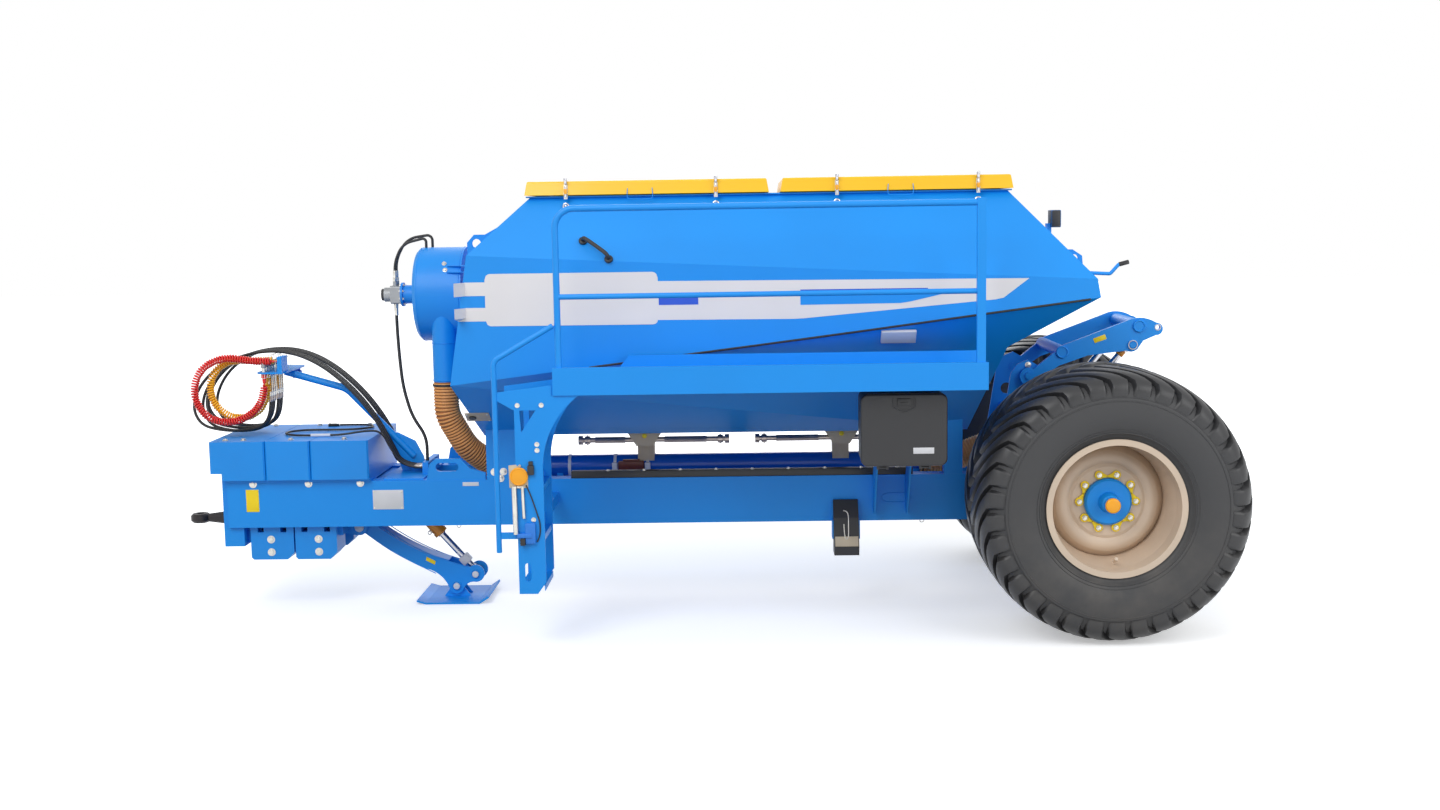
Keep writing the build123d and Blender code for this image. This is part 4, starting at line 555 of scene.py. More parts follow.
# each hose: Y of its loop, the loop's furthest station and lowest height, and the hose's length
hydraulicHoses = ((-0.185, 5.862, 1.172, 2.852), (-0.118, 5.775, 1.180, 2.688), (-0.058, 5.826, 1.168, 2.788),
                  (0.048, 5.778, 1.184, 2.685), (0.095, 5.800, 1.170, 2.741), (0.140, 5.845, 1.176, 2.809))
for index, (lane, (loopY, furthest, low, length)) in enumerate(zip(rack["lanes"], hydraulicHoses), 1):
    stretch = (furthest - rack["station"]) / 0.540
    loop = [rack["station"] + stretch * share for share in (0.070, 0.280, 0.450, 0.540, 0.490, 0.350, 0.190)]
    halfWay = (lane + loopY) / 2
    route = [(rack["outlet"], lane, 0.912), (4.468, lane, 0.912), (4.535, lane, 1.060), (4.640, lane, 1.262),
             (4.790, lane, 1.450), (4.980, lane, 1.610), (5.180, lane, 1.695), (loop[0], lane, 1.700),
             (loop[1], halfWay, 1.640), (loop[2], loopY, 1.520), (loop[3], loopY, 1.350), (loop[4], loopY, 1.215),
             (loop[5], loopY, low), (loop[6], halfWay, low - 0.007), (5.372, lane, low + 0.020),
             (rack["station"], lane, low + 0.122), (rack["station"], lane, 1.3997)]
    hose = routeLine(spots(route), 0.020, 10)
    dress("hydraulicHose%d" % index, hose, "black rubber")
    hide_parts("hydraulic_hose_%d" % index)
    couplingAt("coupling%d" % index, lane, "amber plastic")
print("hydraulic hoses laid")

curly = {"turnRadius": 0.0205, "thickness": 0.0125, "pitch": 0.0168, "tail": 0.045, "turnPoints": 12}


def curlyLine(route):
    # a line wound in a helix along a route
    middle, spans = readRoute(route)
    wound = sum(spans) - 2 * curly["tail"]
    steps = round(wound / curly["pitch"]) * curly["turnPoints"]
    points, side = [middle[0]], leftWay
    for step in range(steps + 1):
        centre, along = walkRoute(middle, spans, curly["tail"] + wound * step / steps)
        side = (side - along * side.dot(along)).normalized()
        angle = math.tau * step / curly["turnPoints"]
        swell = min(1.0, step / 10, (steps - step) / 10) * curly["turnRadius"] * (1 + 0.05 * math.sin(step * 0.11))
        points.append(centre + (side * math.cos(angle) + along.cross(side) * math.sin(angle)) * swell)
    points.append(middle[-1])
    length = sum((there - here).length for here, there in zip(points, points[1:])) * 0.98
    return routeLine(points, curly["thickness"], 2, 2), length


curlyRoutes = {
    "redAirLine": ("red_air_line", "red line", [
        (5.2203, 0.245, 1.640), (5.390, 0.245, 1.640), (5.575, 0.247, 1.680), (5.745, 0.250, 1.600),
        (5.800, 0.250, 1.425), (5.715, 0.250, 1.268), (5.540, 0.248, 1.232), (5.390, 0.246, 1.305),
        (5.320, 0.245, 1.425), (5.320, 0.245, 1.5297)]),
    "yellowAirLine": ("yellow_air_line", "yellow line", [
        (5.2203, 0.180, 1.640), (5.362, 0.180, 1.640), (5.586, 0.181, 1.650), (5.699, 0.183, 1.537),
        (5.699, 0.184, 1.377), (5.586, 0.183, 1.265), (5.430, 0.181, 1.265), (5.320, 0.180, 1.377),
        (5.320, 0.180, 1.5297)]),
}
for name, (node, look, route) in curlyRoutes.items():
    lane = route[0][1]
    collar = dress(name + "Collar", bars(spot(rack["station"], lane, 0), upWay, (1.532, 1.559, 0.0195, 0.0015, 6),
                                         (1.500, 1.533, 0.012, 0.003, 20)), look)
    coil, length = curlyLine(spots(route))
    dress(name, coil, look)
    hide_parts(node)
print("curly air lines wound")

cable = {"diameter": 0.014, "length": 2.119, "height": 1.145}
cableRoute = [(4.3103, 0.165, 0.912), (4.430, 0.165, 0.912), (4.520, 0.170, 1.035), (4.575, 0.180, 1.165),
              (4.690, 0.200, 1.167)] + [(station, y, cable["height"]) for station, y in (
                  (4.830, 0.215), (5.000, 0.226), (5.150, 0.212), (5.240, 0.125), (5.235, 0.005), (5.120, -0.062),
                  (4.960, -0.048), (4.800, -0.062), (4.706, -0.150), (4.735, -0.262), (4.855, -0.312),
                  (4.975, -0.300))]
lead = routeLine(spots(cableRoute), cable["diameter"], 10)
dress("electricCable", lead, "black rubber")
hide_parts("electric_cable")
plugFoot, plugWay = spot(4.9753, -0.300, cable["height"]), Vector((120, 12, 0)).normalized()
plug = dress("cablePlug", bars(plugFoot, plugWay, (0.004, 0.026, 0.0098, 0.002, 20), (0.022, 0.070, 0.0112, 0.002),
                               (0.062, 0.078, 0.0128, 0.002)), "black plastic")
# label sleeve round the loop on the ballast
dress("cableLabel", roundBar(spot(4.905, 0.2205, cable["height"]), spot(5.035, 0.2235, cable["height"]), 0.0105, 0.002),
      "plate white")
print("cable laid")

tyre = {
    "centre": 1.075, "lugs": 34, "lugWidth": 0.082, "lugSweep": 25.0, "steps": 72,
    # lateral offset from the middle and radius: side wall, crown under the lugs, and the lugs' faces
    "wall": [(0.300, 0.389), (0.352, 0.390), (0.356, 0.420), (0.372, 0.440), (0.382, 0.446), (0.392, 0.462),
             (0.411, 0.505), (0.420, 0.545), (0.4235, 0.585), (0.4225, 0.625), (0.4195, 0.650), (0.4190, 0.6560),
             (0.4135, 0.6590)],
    "crown": [(0.4080, 0.664), (0.399, 0.690), (0.384, 0.712), (0.360, 0.738), (0.325, 0.760), (0.27, 0.773),
              (0.17, 0.781), (0.0, 0.784)],
    "lugFace": [(0.0, 0.815), (0.17, 0.812), (0.27, 0.804), (0.335, 0.792), (0.375, 0.772), (0.402, 0.745),
                (0.418, 0.712), (0.4245, 0.672)],
    # bead ring and two fine rings on the outer wall: radius, offset, thickness
    "rings": ((0.4520, 0.3865, 0.004), (0.470, 0.3965, 0.0022), (0.640, 0.4215, 0.0026)),
}


def alongLine(corners, share):
    # point at a share of a bent line's length
    lengths = [math.dist(a, b) for a, b in zip(corners, corners[1:])]
    left = share * sum(lengths)
    for (a, b), length in zip(zip(corners, corners[1:]), lengths):
        if left <= length or b is corners[-1]:
            part = min(1.0, left / length)
            return a[0] + (b[0] - a[0]) * part, a[1] + (b[1] - a[1]) * part
        left -= length


def makeLug(side):
    # one curved bar of the tread: a grid laid over the tyre's shoulder, its rim sunk into the carcass
    steps, sunk = 15, 0.004
    # shares of the lug's width and height
    rowShape = ((-0.66, 0.0), (-0.5, 0.93), (-0.36, 1.0), (0.36, 1.0), (0.5, 0.93), (0.66, 0.0))
    clearSelection()
    bpy.ops.mesh.primitive_grid_add(x_subdivisions=steps - 1, y_subdivisions=len(rowShape) - 1, size=2)
    lug = newest()
    for vertex in lug.data.vertices:
        step = round((vertex.co.x + 1) / 2 * (steps - 1))
        share = 0.02 + 0.98 * step / (steps - 1)
        widthShare, heightShare = rowShape[round((vertex.co.y + 1) / 2 * (len(rowShape) - 1))]
        if step in (0, steps - 1):
            heightShare = 0.0
        foot, face = alongLine(tyre["crown"][::-1], share), alongLine(tyre["lugFace"], share)
        offset = foot[0] + (face[0] - foot[0]) * heightShare
        radius = foot[1] - sunk + (face[1] - foot[1] + sunk) * heightShare
        sweep = math.radians(tyre["lugSweep"]) * max(0.0, 1 - (share / 0.80) ** 1.35)
        taper = 1.0 - max(0.0, share - 0.75)
        width = tyre["lugWidth"] * (0.85 + 0.35 * min(1.0, share / 0.6)) * taper
        turn = sweep + widthShare * width / radius
        vertex.co = (math.sin(turn) * radius, side * offset, math.cos(turn) * radius)
    turnOutward(lug)
    middleFace = lug.data.polygons[len(lug.data.polygons) // 2]
    if middleFace.normal.dot(middleFace.center) < 0:
        lug.data.flip_normals()
    return lug


carcassProfile = tyre["wall"] + tyre["crown"]
fullProfile = carcassProfile + [(-offset, radius) for offset, radius in reversed(carcassProfile[:-1])]
pitch = math.tau / tyre["lugs"]
for sideName, side in (("left", 1), ("right", -1)):
    wheelCentre, body = Vector((axleX, side * tyre["centre"], axleZ)), sideName + "_wheel"
    carcass = spunPiece(fullProfile, wheelCentre, tyre["steps"])
    dress(sideName + "TyreCarcass", carcass, "tyre rubber", 60, body)
    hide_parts(sideName + "_tyre")
    halves = [scatter(makeLug(half), [Matrix.Translation(wheelCentre) @ Matrix.Rotation(-(index + late) * pitch, 4, "Y")
                                      for index in range(tyre["lugs"])]) for half, late in ((1, 0), (-1, 0.5))]
    dress(sideName + "Tread", halves, "tread rubber", 40, body)
    dress(sideName + "TyreRings", [ringAt(wheelCentre + leftWay * side * offset, leftWay, radius, thickness, 120)
                                   for radius, offset, thickness in tyre["rings"]], "tyre rubber", 60, body)
print("tyres built")

hub = {"studs": 10, "studCircle": 0.335, "face": 1.168, "cap": (0.145, 0.176, 0.045, 0.010, 40),
       "pointerTurn": 0.95, "valveTurn": 183, "valveRadius": 0.345, "valveY": 1.30, "jointRadius": 0.3455,
       "jointY": 1.102}


def makeStud():
    # wheel nut with its washer and the stud's end
    clearSelection()
    bpy.ops.mesh.primitive_cylinder_add(vertices=6, radius=0.0175, depth=0.020, location=(0, 0, 0.012))
    nut = roundEdges(applyPlace(newest()), 0.0015, 1)
    return joinPieces([nut, *bars(origin, upWay, (0, 0.004, 0.022, 0.001, 20), (0.02, 0.034, 0.0105, 0.002, 14))])


def makePointer():
    # yellow loose-nut pointer: a ring round the nut with a tongue
    clearSelection()
    bpy.ops.mesh.primitive_cylinder_add(vertices=24, radius=0.026, depth=0.008, location=(0, 0, 0.010))
    ring = applyPlace(newest())
    tongue = tracedPlate([(-0.018, 0.012, 0.006), (0.018, 0.012, 0.006), (0.004, 0.056, 0.006),
                          (-0.004, 0.056, 0.006)], (0, 0, 0.006))
    return roundEdges(joinPieces([ring, tongue]), 0.0012, 1)


def studAt(angle):
    return Vector((math.sin(angle), 0, math.cos(angle))) * hub["studCircle"] / 2


for sideName, side in (("left", 1), ("right", -1)):
    body, outward = sideName + "_wheel", leftWay * side
    face = Vector((axleX, side * hub["face"], axleZ))
    studPlaces, pointerPlaces = [], []
    for index in range(hub["studs"]):
        angle = math.tau * (index + 0.5) / hub["studs"]
        place = face + studAt(angle)
        studPlaces.append(facing(place, outward, angle))
        neighbour = angle + (hub["pointerTurn"] if index % 2 else -hub["pointerTurn"])
        along = (studAt(neighbour) + face - place).normalized()
        turn = Matrix((along.cross(outward), along, outward)).transposed().to_4x4()
        pointerPlaces.append(Matrix.Translation(place) @ turn)
    dress(sideName + "WheelNuts", scatter(makeStud(), studPlaces), "zinc plate", 30, body)
    dress(sideName + "NutPointers", scatter(makePointer(), pointerPlaces), "signal yellow", 35, body)
    dress(sideName + "GreaseCap", bars(face, outward, hub["cap"]), "amber plastic", 50, body)
    # valve stem in the rim's well, and a dark ring where disc and well meet: painted shade in the groove there
    valveAngle = math.radians(hub["valveTurn"])
    radial = Vector((math.sin(valveAngle), 0, math.cos(valveAngle)))
    foot = Vector((axleX, side * hub["valveY"], axleZ)) + radial * hub["valveRadius"]
    dress(sideName + "Valve", [
        roundBar(foot, foot - radial * 0.012, 0.016, 0.003, 16),
        roundBar(foot, foot + outward * 0.055 - radial * 0.03, 0.008, 0.001, 12),
        roundBar(foot + outward * 0.040 - radial * 0.022, foot + outward * 0.062 - radial * 0.034, 0.011, 0.002, 12)],
        "cream paint", 35, body)
    dress(sideName + "GrooveShadeLine", ringAt((axleX, side * hub["jointY"], axleZ), leftWay, hub["jointRadius"], 0.004, 120),
          "groove shade line", 60, body)
print("wheels dressed")

# stripes: heights of their edges, and how far the skins stand off the hopper's side
stripe = {"top": 2.168, "bottom": 1.932, "gapTop": 2.086, "gapBottom": 2.014, "skin": 0.0009, "second": 0.0018,
          "third": 0.0026}
panel = {"front": 3.722, "rear": 2.672, "top": 2.218, "bottom": 1.902, "corner": 0.035}


def hopperSide(station, height):
    # whether a level line from the left meets the hopper, where, and the outward direction there
    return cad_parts["hopper"].ray_cast(spot(station, 3.0, height), -leftWay)[:3]


def band(name, stations, low, high, lift, look, step=0.06):
    # quads laid on the hopper between two edges, each a height or a function of the station
    first, last = stations
    count = max(2, math.ceil(abs(last - first) / step))
    clearSelection()
    bpy.ops.mesh.primitive_grid_add(x_subdivisions=count, y_subdivisions=4, size=2)
    skin = newest()
    order = sorted(skin.data.vertices, key=lambda vertex: (round(vertex.co.x, 4), round(vertex.co.y, 4)))
    for number, vertex in enumerate(order):
        station = first + (last - first) * (number // 5) / count
        bottom, top = (edge(station) if callable(edge) else edge for edge in (low, high))
        height = bottom + (top - bottom) * (number % 5) / 4
        found, place, normal = hopperSide(station, height)
        vertex.co = place + normal * lift if found else spot(station, 1.1, height)
    turnOutward(skin)
    if skin.data.polygons[0].normal.y < 0:
        skin.data.flip_normals()
    dress(name, skin, look, 0)


def edgeLine(*corners):
    # height on a bent line whose (station, height) corners run rearward
    def height(station):
        for (front, first), (rear, last) in zip(corners, corners[1:]):
            if rear <= station <= front:
                return first + (last - first) * (station - front) / (rear - front)
    return height


def panelCut(station):
    # how far the panel's rounded corners come in
    across = max(0.0, panel["corner"] - min(panel["front"] - station, station - panel["rear"]))
    return panel["corner"] - math.sqrt(max(0.0, panel["corner"] ** 2 - across ** 2))


# two white bands ahead of the blank panel, and a white field that narrows rearward, with dark bars on it
band("frontBandUpper", (3.890, 3.700), stripe["gapTop"], stripe["top"], stripe["skin"], "stripe white")
band("frontBandLower", (3.890, 3.700), stripe["bottom"], stripe["gapBottom"], stripe["skin"], "stripe white")
band("blankPanel", (panel["front"], panel["rear"]), lambda s: panel["bottom"] + panelCut(s),
     lambda s: panel["top"] - panelCut(s), stripe["second"], "stripe white", 0.008)
band("whiteField", (2.700, 0.463), edgeLine((3.90, stripe["bottom"]), (1.83, 1.925), (0.62, 2.030), (0.462, 2.150)),
     edgeLine((3.90, stripe["top"]), (0.462, 2.150)), stripe["skin"], "stripe white", 0.05)
band("frontDarkBar", (2.668, 2.430), 2.018, 2.082, stripe["second"], "stripe blue")
band("rearDarkBar", (1.818, 0.864), edgeLine((1.818, 2.008), (1.20, 2.012), (0.862, 2.088)),
     edgeLine((1.818, 2.098), (0.862, 2.088)), stripe["second"], "blue paint")
band("rearDarkLine", (1.818, 1.060), 2.086, 2.100, stripe["third"], "stripe blue")
print("stripes laid")

# black seal strip along the lower crease: the first face going up that doesn't look down much
sealPoints = []
for station, height in ((3.10, 1.742), (2.50, 1.792), (1.90, 1.846), (1.30, 1.904), (0.70, 1.964), (0.10, 2.022)):
    for trial in range(40):
        found, place, normal = hopperSide(station, height - 0.12 + trial * 0.006)
        if found and normal.z > -0.25:
            break
    sealPoints.append(place + Vector((0, -0.004, -0.008)))
dress("creaseSeal", lineTube(sealPoints, 0.0075), "black rubber", 60)

# grab handle on the upper panel
handleFeet = (footA, outA), (footB, outB) = sideOf("hopper", 3.125, 2.402), sideOf("hopper", 2.965, 2.292)
gripLine = [footA + outA * 0.012, footA + outA * 0.050, footA.lerp(footB, 0.25) + outA * 0.058,
            footA.lerp(footB, 0.75) + outB * 0.058, footB + outB * 0.050, footB + outB * 0.012]
handle = [lineTube(gripLine, 0.0125)]
for foot, out in handleFeet:
    handle += bars(foot, out, (-0.001, 0.020, 0.026, 0.006, 28))
dress("grabHandle", handle, "black plastic", 50)

# thin wire handles under the lids' edges, latch bolts, and the latches' eye bolts on the hopper
wireHalf = [(0.075, 0.778, 2.722), (0.078, 0.781, 2.700), (0.078, 0.783, 2.662), (0.060, 0.784, 2.655)]
wireLine = wireHalf + [(-along, y, z) for along, y, z in reversed(wireHalf)]
eyes = []
for lidName, middle, latchStations in (("front", 2.785, (2.320, 3.240)), ("rear", 1.192, (0.720, 1.580))):
    body, bolts, rubbers = lidName + "_lid", [], []
    for side, sideName in ((1, "Left"), (-1, "Right")):
        handle = lineTube([spot(middle + along, side * y, z) for along, y, z in wireLine], 0.0022)
        dress(lidName + sideName + "WireHandle", handle, "blue paint", 60, body)
        for station in latchStations:
            foot = spot(station, side * 0.7875, 0)
            bolts += bars(foot, upWay, (2.672, 2.745, 0.0065, 0.001, 14)) + [
                roundBar(spot(station, side * 0.779, 2.752), spot(station, side * 0.786, 2.790), 0.0105, 0.003, 18)]
            rubbers += bars(foot, upWay, (2.690, 2.722, 0.0098, 0.002, 18))
            place, out = sideOf("hopper", station, 2.618, side)[0], leftWay * side
            eyes += [ringAt(place + out * 0.012, leftWay, 0.017, 0.0048, 28)]
            eyes += bars(place, out, (-0.002, 0.016, 0.009, 0.001, 6))
    dress(body + "LatchBolts", bolts, "bright chrome", 40, body)
    dress(body + "LatchRubbers", rubbers, "amber plastic", 40, body)
dress("latchEyes", eyes, "bright chrome", 40)
print("lids fitted")


def upSlope(normal):
    # direction straight up the slope of a face
    way = normal.cross(frontWay).normalized()
    return way if way.z > 0 else -way


# blank tag under the crease
place, normal = sideOf("hopper", 1.230, 1.815)
dress("controlTag", tracedPlate(rectangle(place, frontWay * 0.105, upSlope(normal) * 0.052), normal * 0.022, 0.005),
      "plate white")
# cover plate low on the hopper's front, with a dark opening and four screws; the opening is a black disc on the plate,
# painted shade of the hole
place, normal = sideOf("hopper", 3.862, 1.300)
coverUp = upSlope(normal)
cover = rectangle(place + normal * 0.0005, frontWay * 0.078, coverUp * 0.060)
dress("frontCoverPlate", tracedPlate(cover, normal * 0.006, 0.0015), "beige plastic")
dress("frontCoverHoleShade", bars(place + frontWay * 0.034, normal, (0.006, 0.016, 0.024, 0.004, 28)),
      "black rubber", 50)
screws = []
for foot in rectangle(place, frontWay * 0.066, coverUp * 0.046):
    screws += bars(foot, normal, (0.005, 0.012, 0.007, 0.001, 6))
dress("frontCoverScrews", screws, "zinc plate")
print("hopper dressed")

# bolts: those of the upper weights, of the lower ones, the plugs on top, the rivets and the rear support
rail = {"face": 0.3803, "boltFace": 0.3805}
boltsAt("saddleBolts", bothSides([(station, 0.848) for station in (5.385, 5.020, 4.680)], rail["boltFace"]),
        0.017, 0.014)
boltsAt("lowerWeightBolts", bothSides([(station, height) for station in (5.3, 4.985) for height in (0.385, 0.470)],
                                      0.3302), 0.018, 0.010)
boltsAt("weightTopBolts", [(place, upWay) for place, _ in bothSides(
    [(station, 1.1352) for station in (5.56, 5.44, 5.13, 4.78)], 0.36)], 0.014, 0.010)
boltsAt("railPlateRivets", [(spot(station, 0.3822, height), leftWay) for station in (4.412, 4.592)
                            for height in (0.682, 0.790)], 0.0045, 0.002)
boltsAt("supportBolts", [(spot(station, rail["boltFace"], height), leftWay)
                         for station, height in ((3.800, 0.910), (3.740, 0.912), (3.760, 0.868))], 0.017, 0.012)
boltsAt("eyeFlangeBolts", [surfaceAt("towing_eye", (3.6, y, 0.560 + z), -frontWay) for y, z in circleOf(6, 0.076)],
        0.012, 0.010, "forged steel")
# blank plates and tags on the rail's side
for name, look, row in (
        ("yellowTag", "signal yellow", (5.352, rail["face"], 0.665, 5.436, 0.3815, 0.812, 0.0004)),
        ("railPlate", "plate white", (4.402, rail["face"], 0.672, 4.602, 0.3822, 0.800, 0.0006)),
        ("smallTag", "plate white", (3.905, rail["face"], 0.820, 4.010, 0.3818, 0.845, 0.0005))):
    dress(name, blocks(row), look)
print("drawbar bolts and plates placed")

# unions and ferrules of the hoses at both ends, and the rack's dust plugs on thin wires
unions, ferrules, couplingFerrules, plugs, wires = [], [], [], [], []
station = rack["station"]
for lane in rack["lanes"]:
    foot = spot(rack["outlet"], lane, rack["outletHeight"])
    unions += bars(foot, frontWay, (0.0004, 0.020, 0.0175, 0.001, 6), (0.019, 0.030, 0.0140, 0.001))
    ferrules += bars(foot, frontWay, (0.029, 0.066, 0.0135, 0.002))
    couplingFerrules += bars(spot(station, lane, 0), upWay, (1.362, 1.403, 0.0135, 0.002))
for lane in rack["lanes"] + (0.245, 0.180):
    plugs += bars(spot(station, lane, 0), upWay, (1.598, 1.634, 0.0158, 0.004), (1.603, 1.609, 0.0180, 0.002))
    wires.append(lineTube([spot(station + along, lane + y, z) for along, y, z in (
        (0, 0, 1.632), (-0.004, 0.002, 1.662), (-0.040, 0.008, 1.690), (-0.082, 0.010, 1.660),
        (-0.086, 0.006, 1.600), (-0.080, 0.004, 1.572))], 0.0016))
dress("outletUnions", unions, "zinc plate", 40)
dress("outletFerrules", ferrules, "steel shaft", 40)
dress("couplingFerrules", couplingFerrules, "steel shaft", 40)
dress("dustPlugs", plugs, "grey casting", 40)
dress("dustPlugWires", wires, "zinc plate", 60)
# blue dust cap and an orange tag that hang under the rack
dress("blueCap", bars(spot(5.235, -0.225, 0), upWay, (1.484, 1.537, 0.033, 0.006, 32),
                      (1.535, 1.549, 0.024, 0.003, 32)), "cap blue", 40)
tagShape = ((5.262, 1.556), (5.282, 1.548), (5.286, 1.495), (5.258, 1.487), (5.243, 1.505), (5.246, 1.548))
dress("orangeTag", tracedPlate(sideSpots(-0.262, tagShape), (0, 0.003, 0), 0.0008), "amber plastic")
print("hose fittings placed")

# air hoses: the fan's is drawn anew, the rear one keeps its CAD tube, and both get ribs a pitch apart
airHose = {"radius": 0.0775, "ribPitch": 0.0200, "clampRadius": 0.0872, "screwReach": 0.093}


def ringsAlong(route, radius, thickness, trim):
    # rings square to a bent line
    middle, spans = readRoute(route, 24)
    reach = sum(spans) - 2 * trim
    count = int(reach / airHose["ribPitch"])
    places = [facing(*walkRoute(middle, spans, trim + step * reach / count)) for step in range(count + 1)]
    return scatter(ringAt((0, 0, 0), upWay, radius, thickness, 48, 6), places)


fanRoute = spots(((4.130, 0.200, 1.4897), (4.130, 0.200, 1.380), (4.130, 0.200, 1.270), (4.075, 0.160, 1.155),
                  (4.020, 0.120, 1.040), (3.940, 0.060, 0.9625), (3.860, 0.0, 0.885), (3.780, 0.0, 0.885),
                  (3.7003, 0.0, 0.885)))
# the fan hose's tube, seen between the ribs, is coloured dark brown: painted shade in the grooves
fanHose = dress("fanHose", lineTube(fanRoute, airHose["radius"], 10), "hose groove shade", 60)
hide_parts("fan_hose")
dress("fanHoseRibs", ringsAlong(fanRoute, airHose["radius"], 0.0072, 0.016), "ribbed beige", 60)
rearRoute = sideSpots(0, ((0.9997, 0.885), (0.870, 0.885), (0.820, 0.885), (0.774, 0.9036), (0.690, 0.9375),
                          (0.606, 0.9714), (0.560, 0.990), (0.510, 0.990), (0.380, 0.990)))
dress("rearHoseRibs", ringsAlong(rearRoute, 0.0830, 0.0062, 0.010), "ribbed beige", 40)
# clamps at the hoses' ends: a band with its screw housing
clamps = []
for place, way in ((spot(4.130, 0.200, 1.468), upWay), (spot(3.716, 0, 0.885), frontWay),
                   (spot(0.984, 0, 0.885), frontWay)):
    side = way.cross(Vector((0.3, 1, 0.2))).normalized()
    screw, along = place + side * airHose["screwReach"], way.cross(side)
    clamps += bars(place, way, (-0.007, 0.007, airHose["clampRadius"], 0.001, 60))
    clamps += bars(screw, along, (-0.016, 0.020, 0.007, 0.001, 12))
dress("hoseClamps", clamps, "forged steel", 40)

# fan: seam rings, strap brackets and bolts of the drum; end cap, flange bolts and unions of its motor
fan = {"height": 2.055, "drumRadius": 0.310, "boltCircle": 0.066, "unionStation": 4.478}
dress("drumSeams", [ringAt(spot(4.285, 0, fan["height"]), frontWay, 0.3095, 0.0022, 96),
                    ringAt(spot(4.010, 0, fan["height"]), frontWay, 0.3100, 0.0030, 96),
                    ringAt(spot(4.130, 0.200, 1.745), upWay, 0.0805, 0.0030, 48),
                    ringAt(spot(4.130, 0.200, 1.500), upWay, 0.0805, 0.0035, 48)], "blue paint", 60)
straps = []
for height in (2.205, 2.245):
    reach = math.sqrt(fan["drumRadius"] ** 2 - (height - fan["height"]) ** 2)
    straps.append(tracedPlate([spot(station, reach + out, height) for station, out in (
        (3.880, -0.020), (4.085, -0.012), (4.085, 0.012), (3.975, 0.030), (3.880, 0.120))], (0, 0, 0.006), 0.0012))
dress("drumStraps", straps, "blue paint")
boltsAt("drumStrapBolts", [sideOf("fan_housing", 4.098, 2.222), sideOf("fan_housing", 4.108, 2.262)], 0.011, 0.009)
flangeSpots = [(y, fan["height"] + z) for y, z in circleOf(8, fan["boltCircle"])]
boltsAt("motorFlangeBolts", [surfaceAt("fan_housing", spot(4.37, y, z), frontWay) for y, z in flangeSpots],
        0.007, 0.006)
boltsAt("motorFlangeFaceBolts", [(spot(4.4402, y, z), frontWay) for y, z in flangeSpots], 0.007, 0.007)
dress("motorEndCap", bars(spot(0, 0, fan["height"]), frontWay, (4.5555, 4.5755, 0.040, 0.005, 36)),
      "black plastic", 40)
unions = []
for y in (-0.026, 0.026):
    unions += bars(spot(fan["unionStation"], y, 0), upWay, (2.1445, 2.170, 0.0155, 0.001, 6),
                   (2.168, 2.215, 0.0120, 0.002))
unions += bars(spot(fan["unionStation"], 0.025, 0), upWay, (1.9945, 1.968, 0.0180, 0.001, 6),
               (1.970, 1.918, 0.0145, 0.002))
dress("motorUnions", unions, "zinc plate", 40)
print("fan dressed")


def capAndRing(station, height, y, length, radius, ringY, ringRadius, thickness):
    # a pin's end cap and the ring round it, on both sides
    caps, rings = [], []
    for side in (1, -1):
        caps += bars(spot(station, side * y, height), leftWay * side, (-0.0008, length, radius, 0.002, 28))
        rings.append(ringAt(spot(station, side * ringY, height), leftWay, ringRadius, thickness, 40))
    return caps, rings


for body, station, height in (("stand_leg", 4.000, 0.165), ("stand_foot", 4.130, 0.085)):
    caps, rings = capAndRing(station, height, 0.0865, 0.006, 0.022, 0.0752, 0.030, 0.0038)
    dress(body + "PinCaps", caps, "plate white", 40, "stand_leg")
    dress(body + "PinRings", rings, "blue paint", 60, "stand_leg")
caps, rings = capAndRing(4.770, 0.500, 0.1095, 0.007, 0.024, 0.1095, 0.027, 0.004)
dress("standPivotCaps", caps + rings, "plate white", 40)
tagShape = ((4.335, 0.262), (4.275, 0.232), (4.268, 0.256), (4.328, 0.287))
dress("standTag", tracedPlate(sideSpots(0.0753, tagShape), (0, 0.0014, 0), 0.0003), "signal yellow", 35, "stand_leg")
# edge bead that thickens the leg's outline, laid along its two curved edges
legEdges = (((4.700, 0.541), (4.600, 0.474), (4.480, 0.394), (4.330, 0.314), (4.180, 0.252), (4.060, 0.216)),
            ((4.740, 0.458), (4.660, 0.396), (4.560, 0.326), (4.440, 0.258), (4.345, 0.210), (4.270, 0.172)))
dress("standLegBeads", [lineTube(sideSpots(side * 0.0748, edge), 0.0032) for side in (1, -1) for edge in legEdges],
      "blue paint", 60, "stand_leg")
# the stand's cylinder: end rings, wiper and port; the rod's block and collar
foot, tip = spot(4.500, 0, 0.735), spot(4.000, 0, 0.165)
way = (tip - foot).normalized()
dress("standBarrelRings", bars(foot, way, (0.384, 0.402, 0.0462, 0.003, 48), (0.060, 0.075, 0.0455, 0.003, 48)),
      "orange paint", 40, "stand_cylinder")
dress("standRodWiper", bars(foot, way, (0.4015, 0.410, 0.030, 0.003, 40)), "bright chrome", 40, "stand_cylinder")
rodBlock = block((-0.036, -0.034, -0.030), (0.036, 0.034, 0.030), 0.008)
rodBlock.matrix_world = facing(foot + way * 0.640, way)
dress("standRodBlock", rodBlock, "plate white", 40, "stand_rod")
dress("standRodCollar", bars(foot, way, (0.584, 0.6099, 0.021, 0.003, 32)), "orange paint", 40, "stand_rod")
port, portWay = foot + way * 0.345, Vector((way.z, 0, -way.x))
if portWay.z > 0:
    portWay = -portWay
dress("standPort", bars(port, portWay, (0.040, 0.052, 0.014, 0.002)) + [
    ringAt(port + portWay * 0.060, leftWay, 0.011, 0.0035, 24)], "zinc plate", 40, "stand_cylinder")
print("stand dressed")

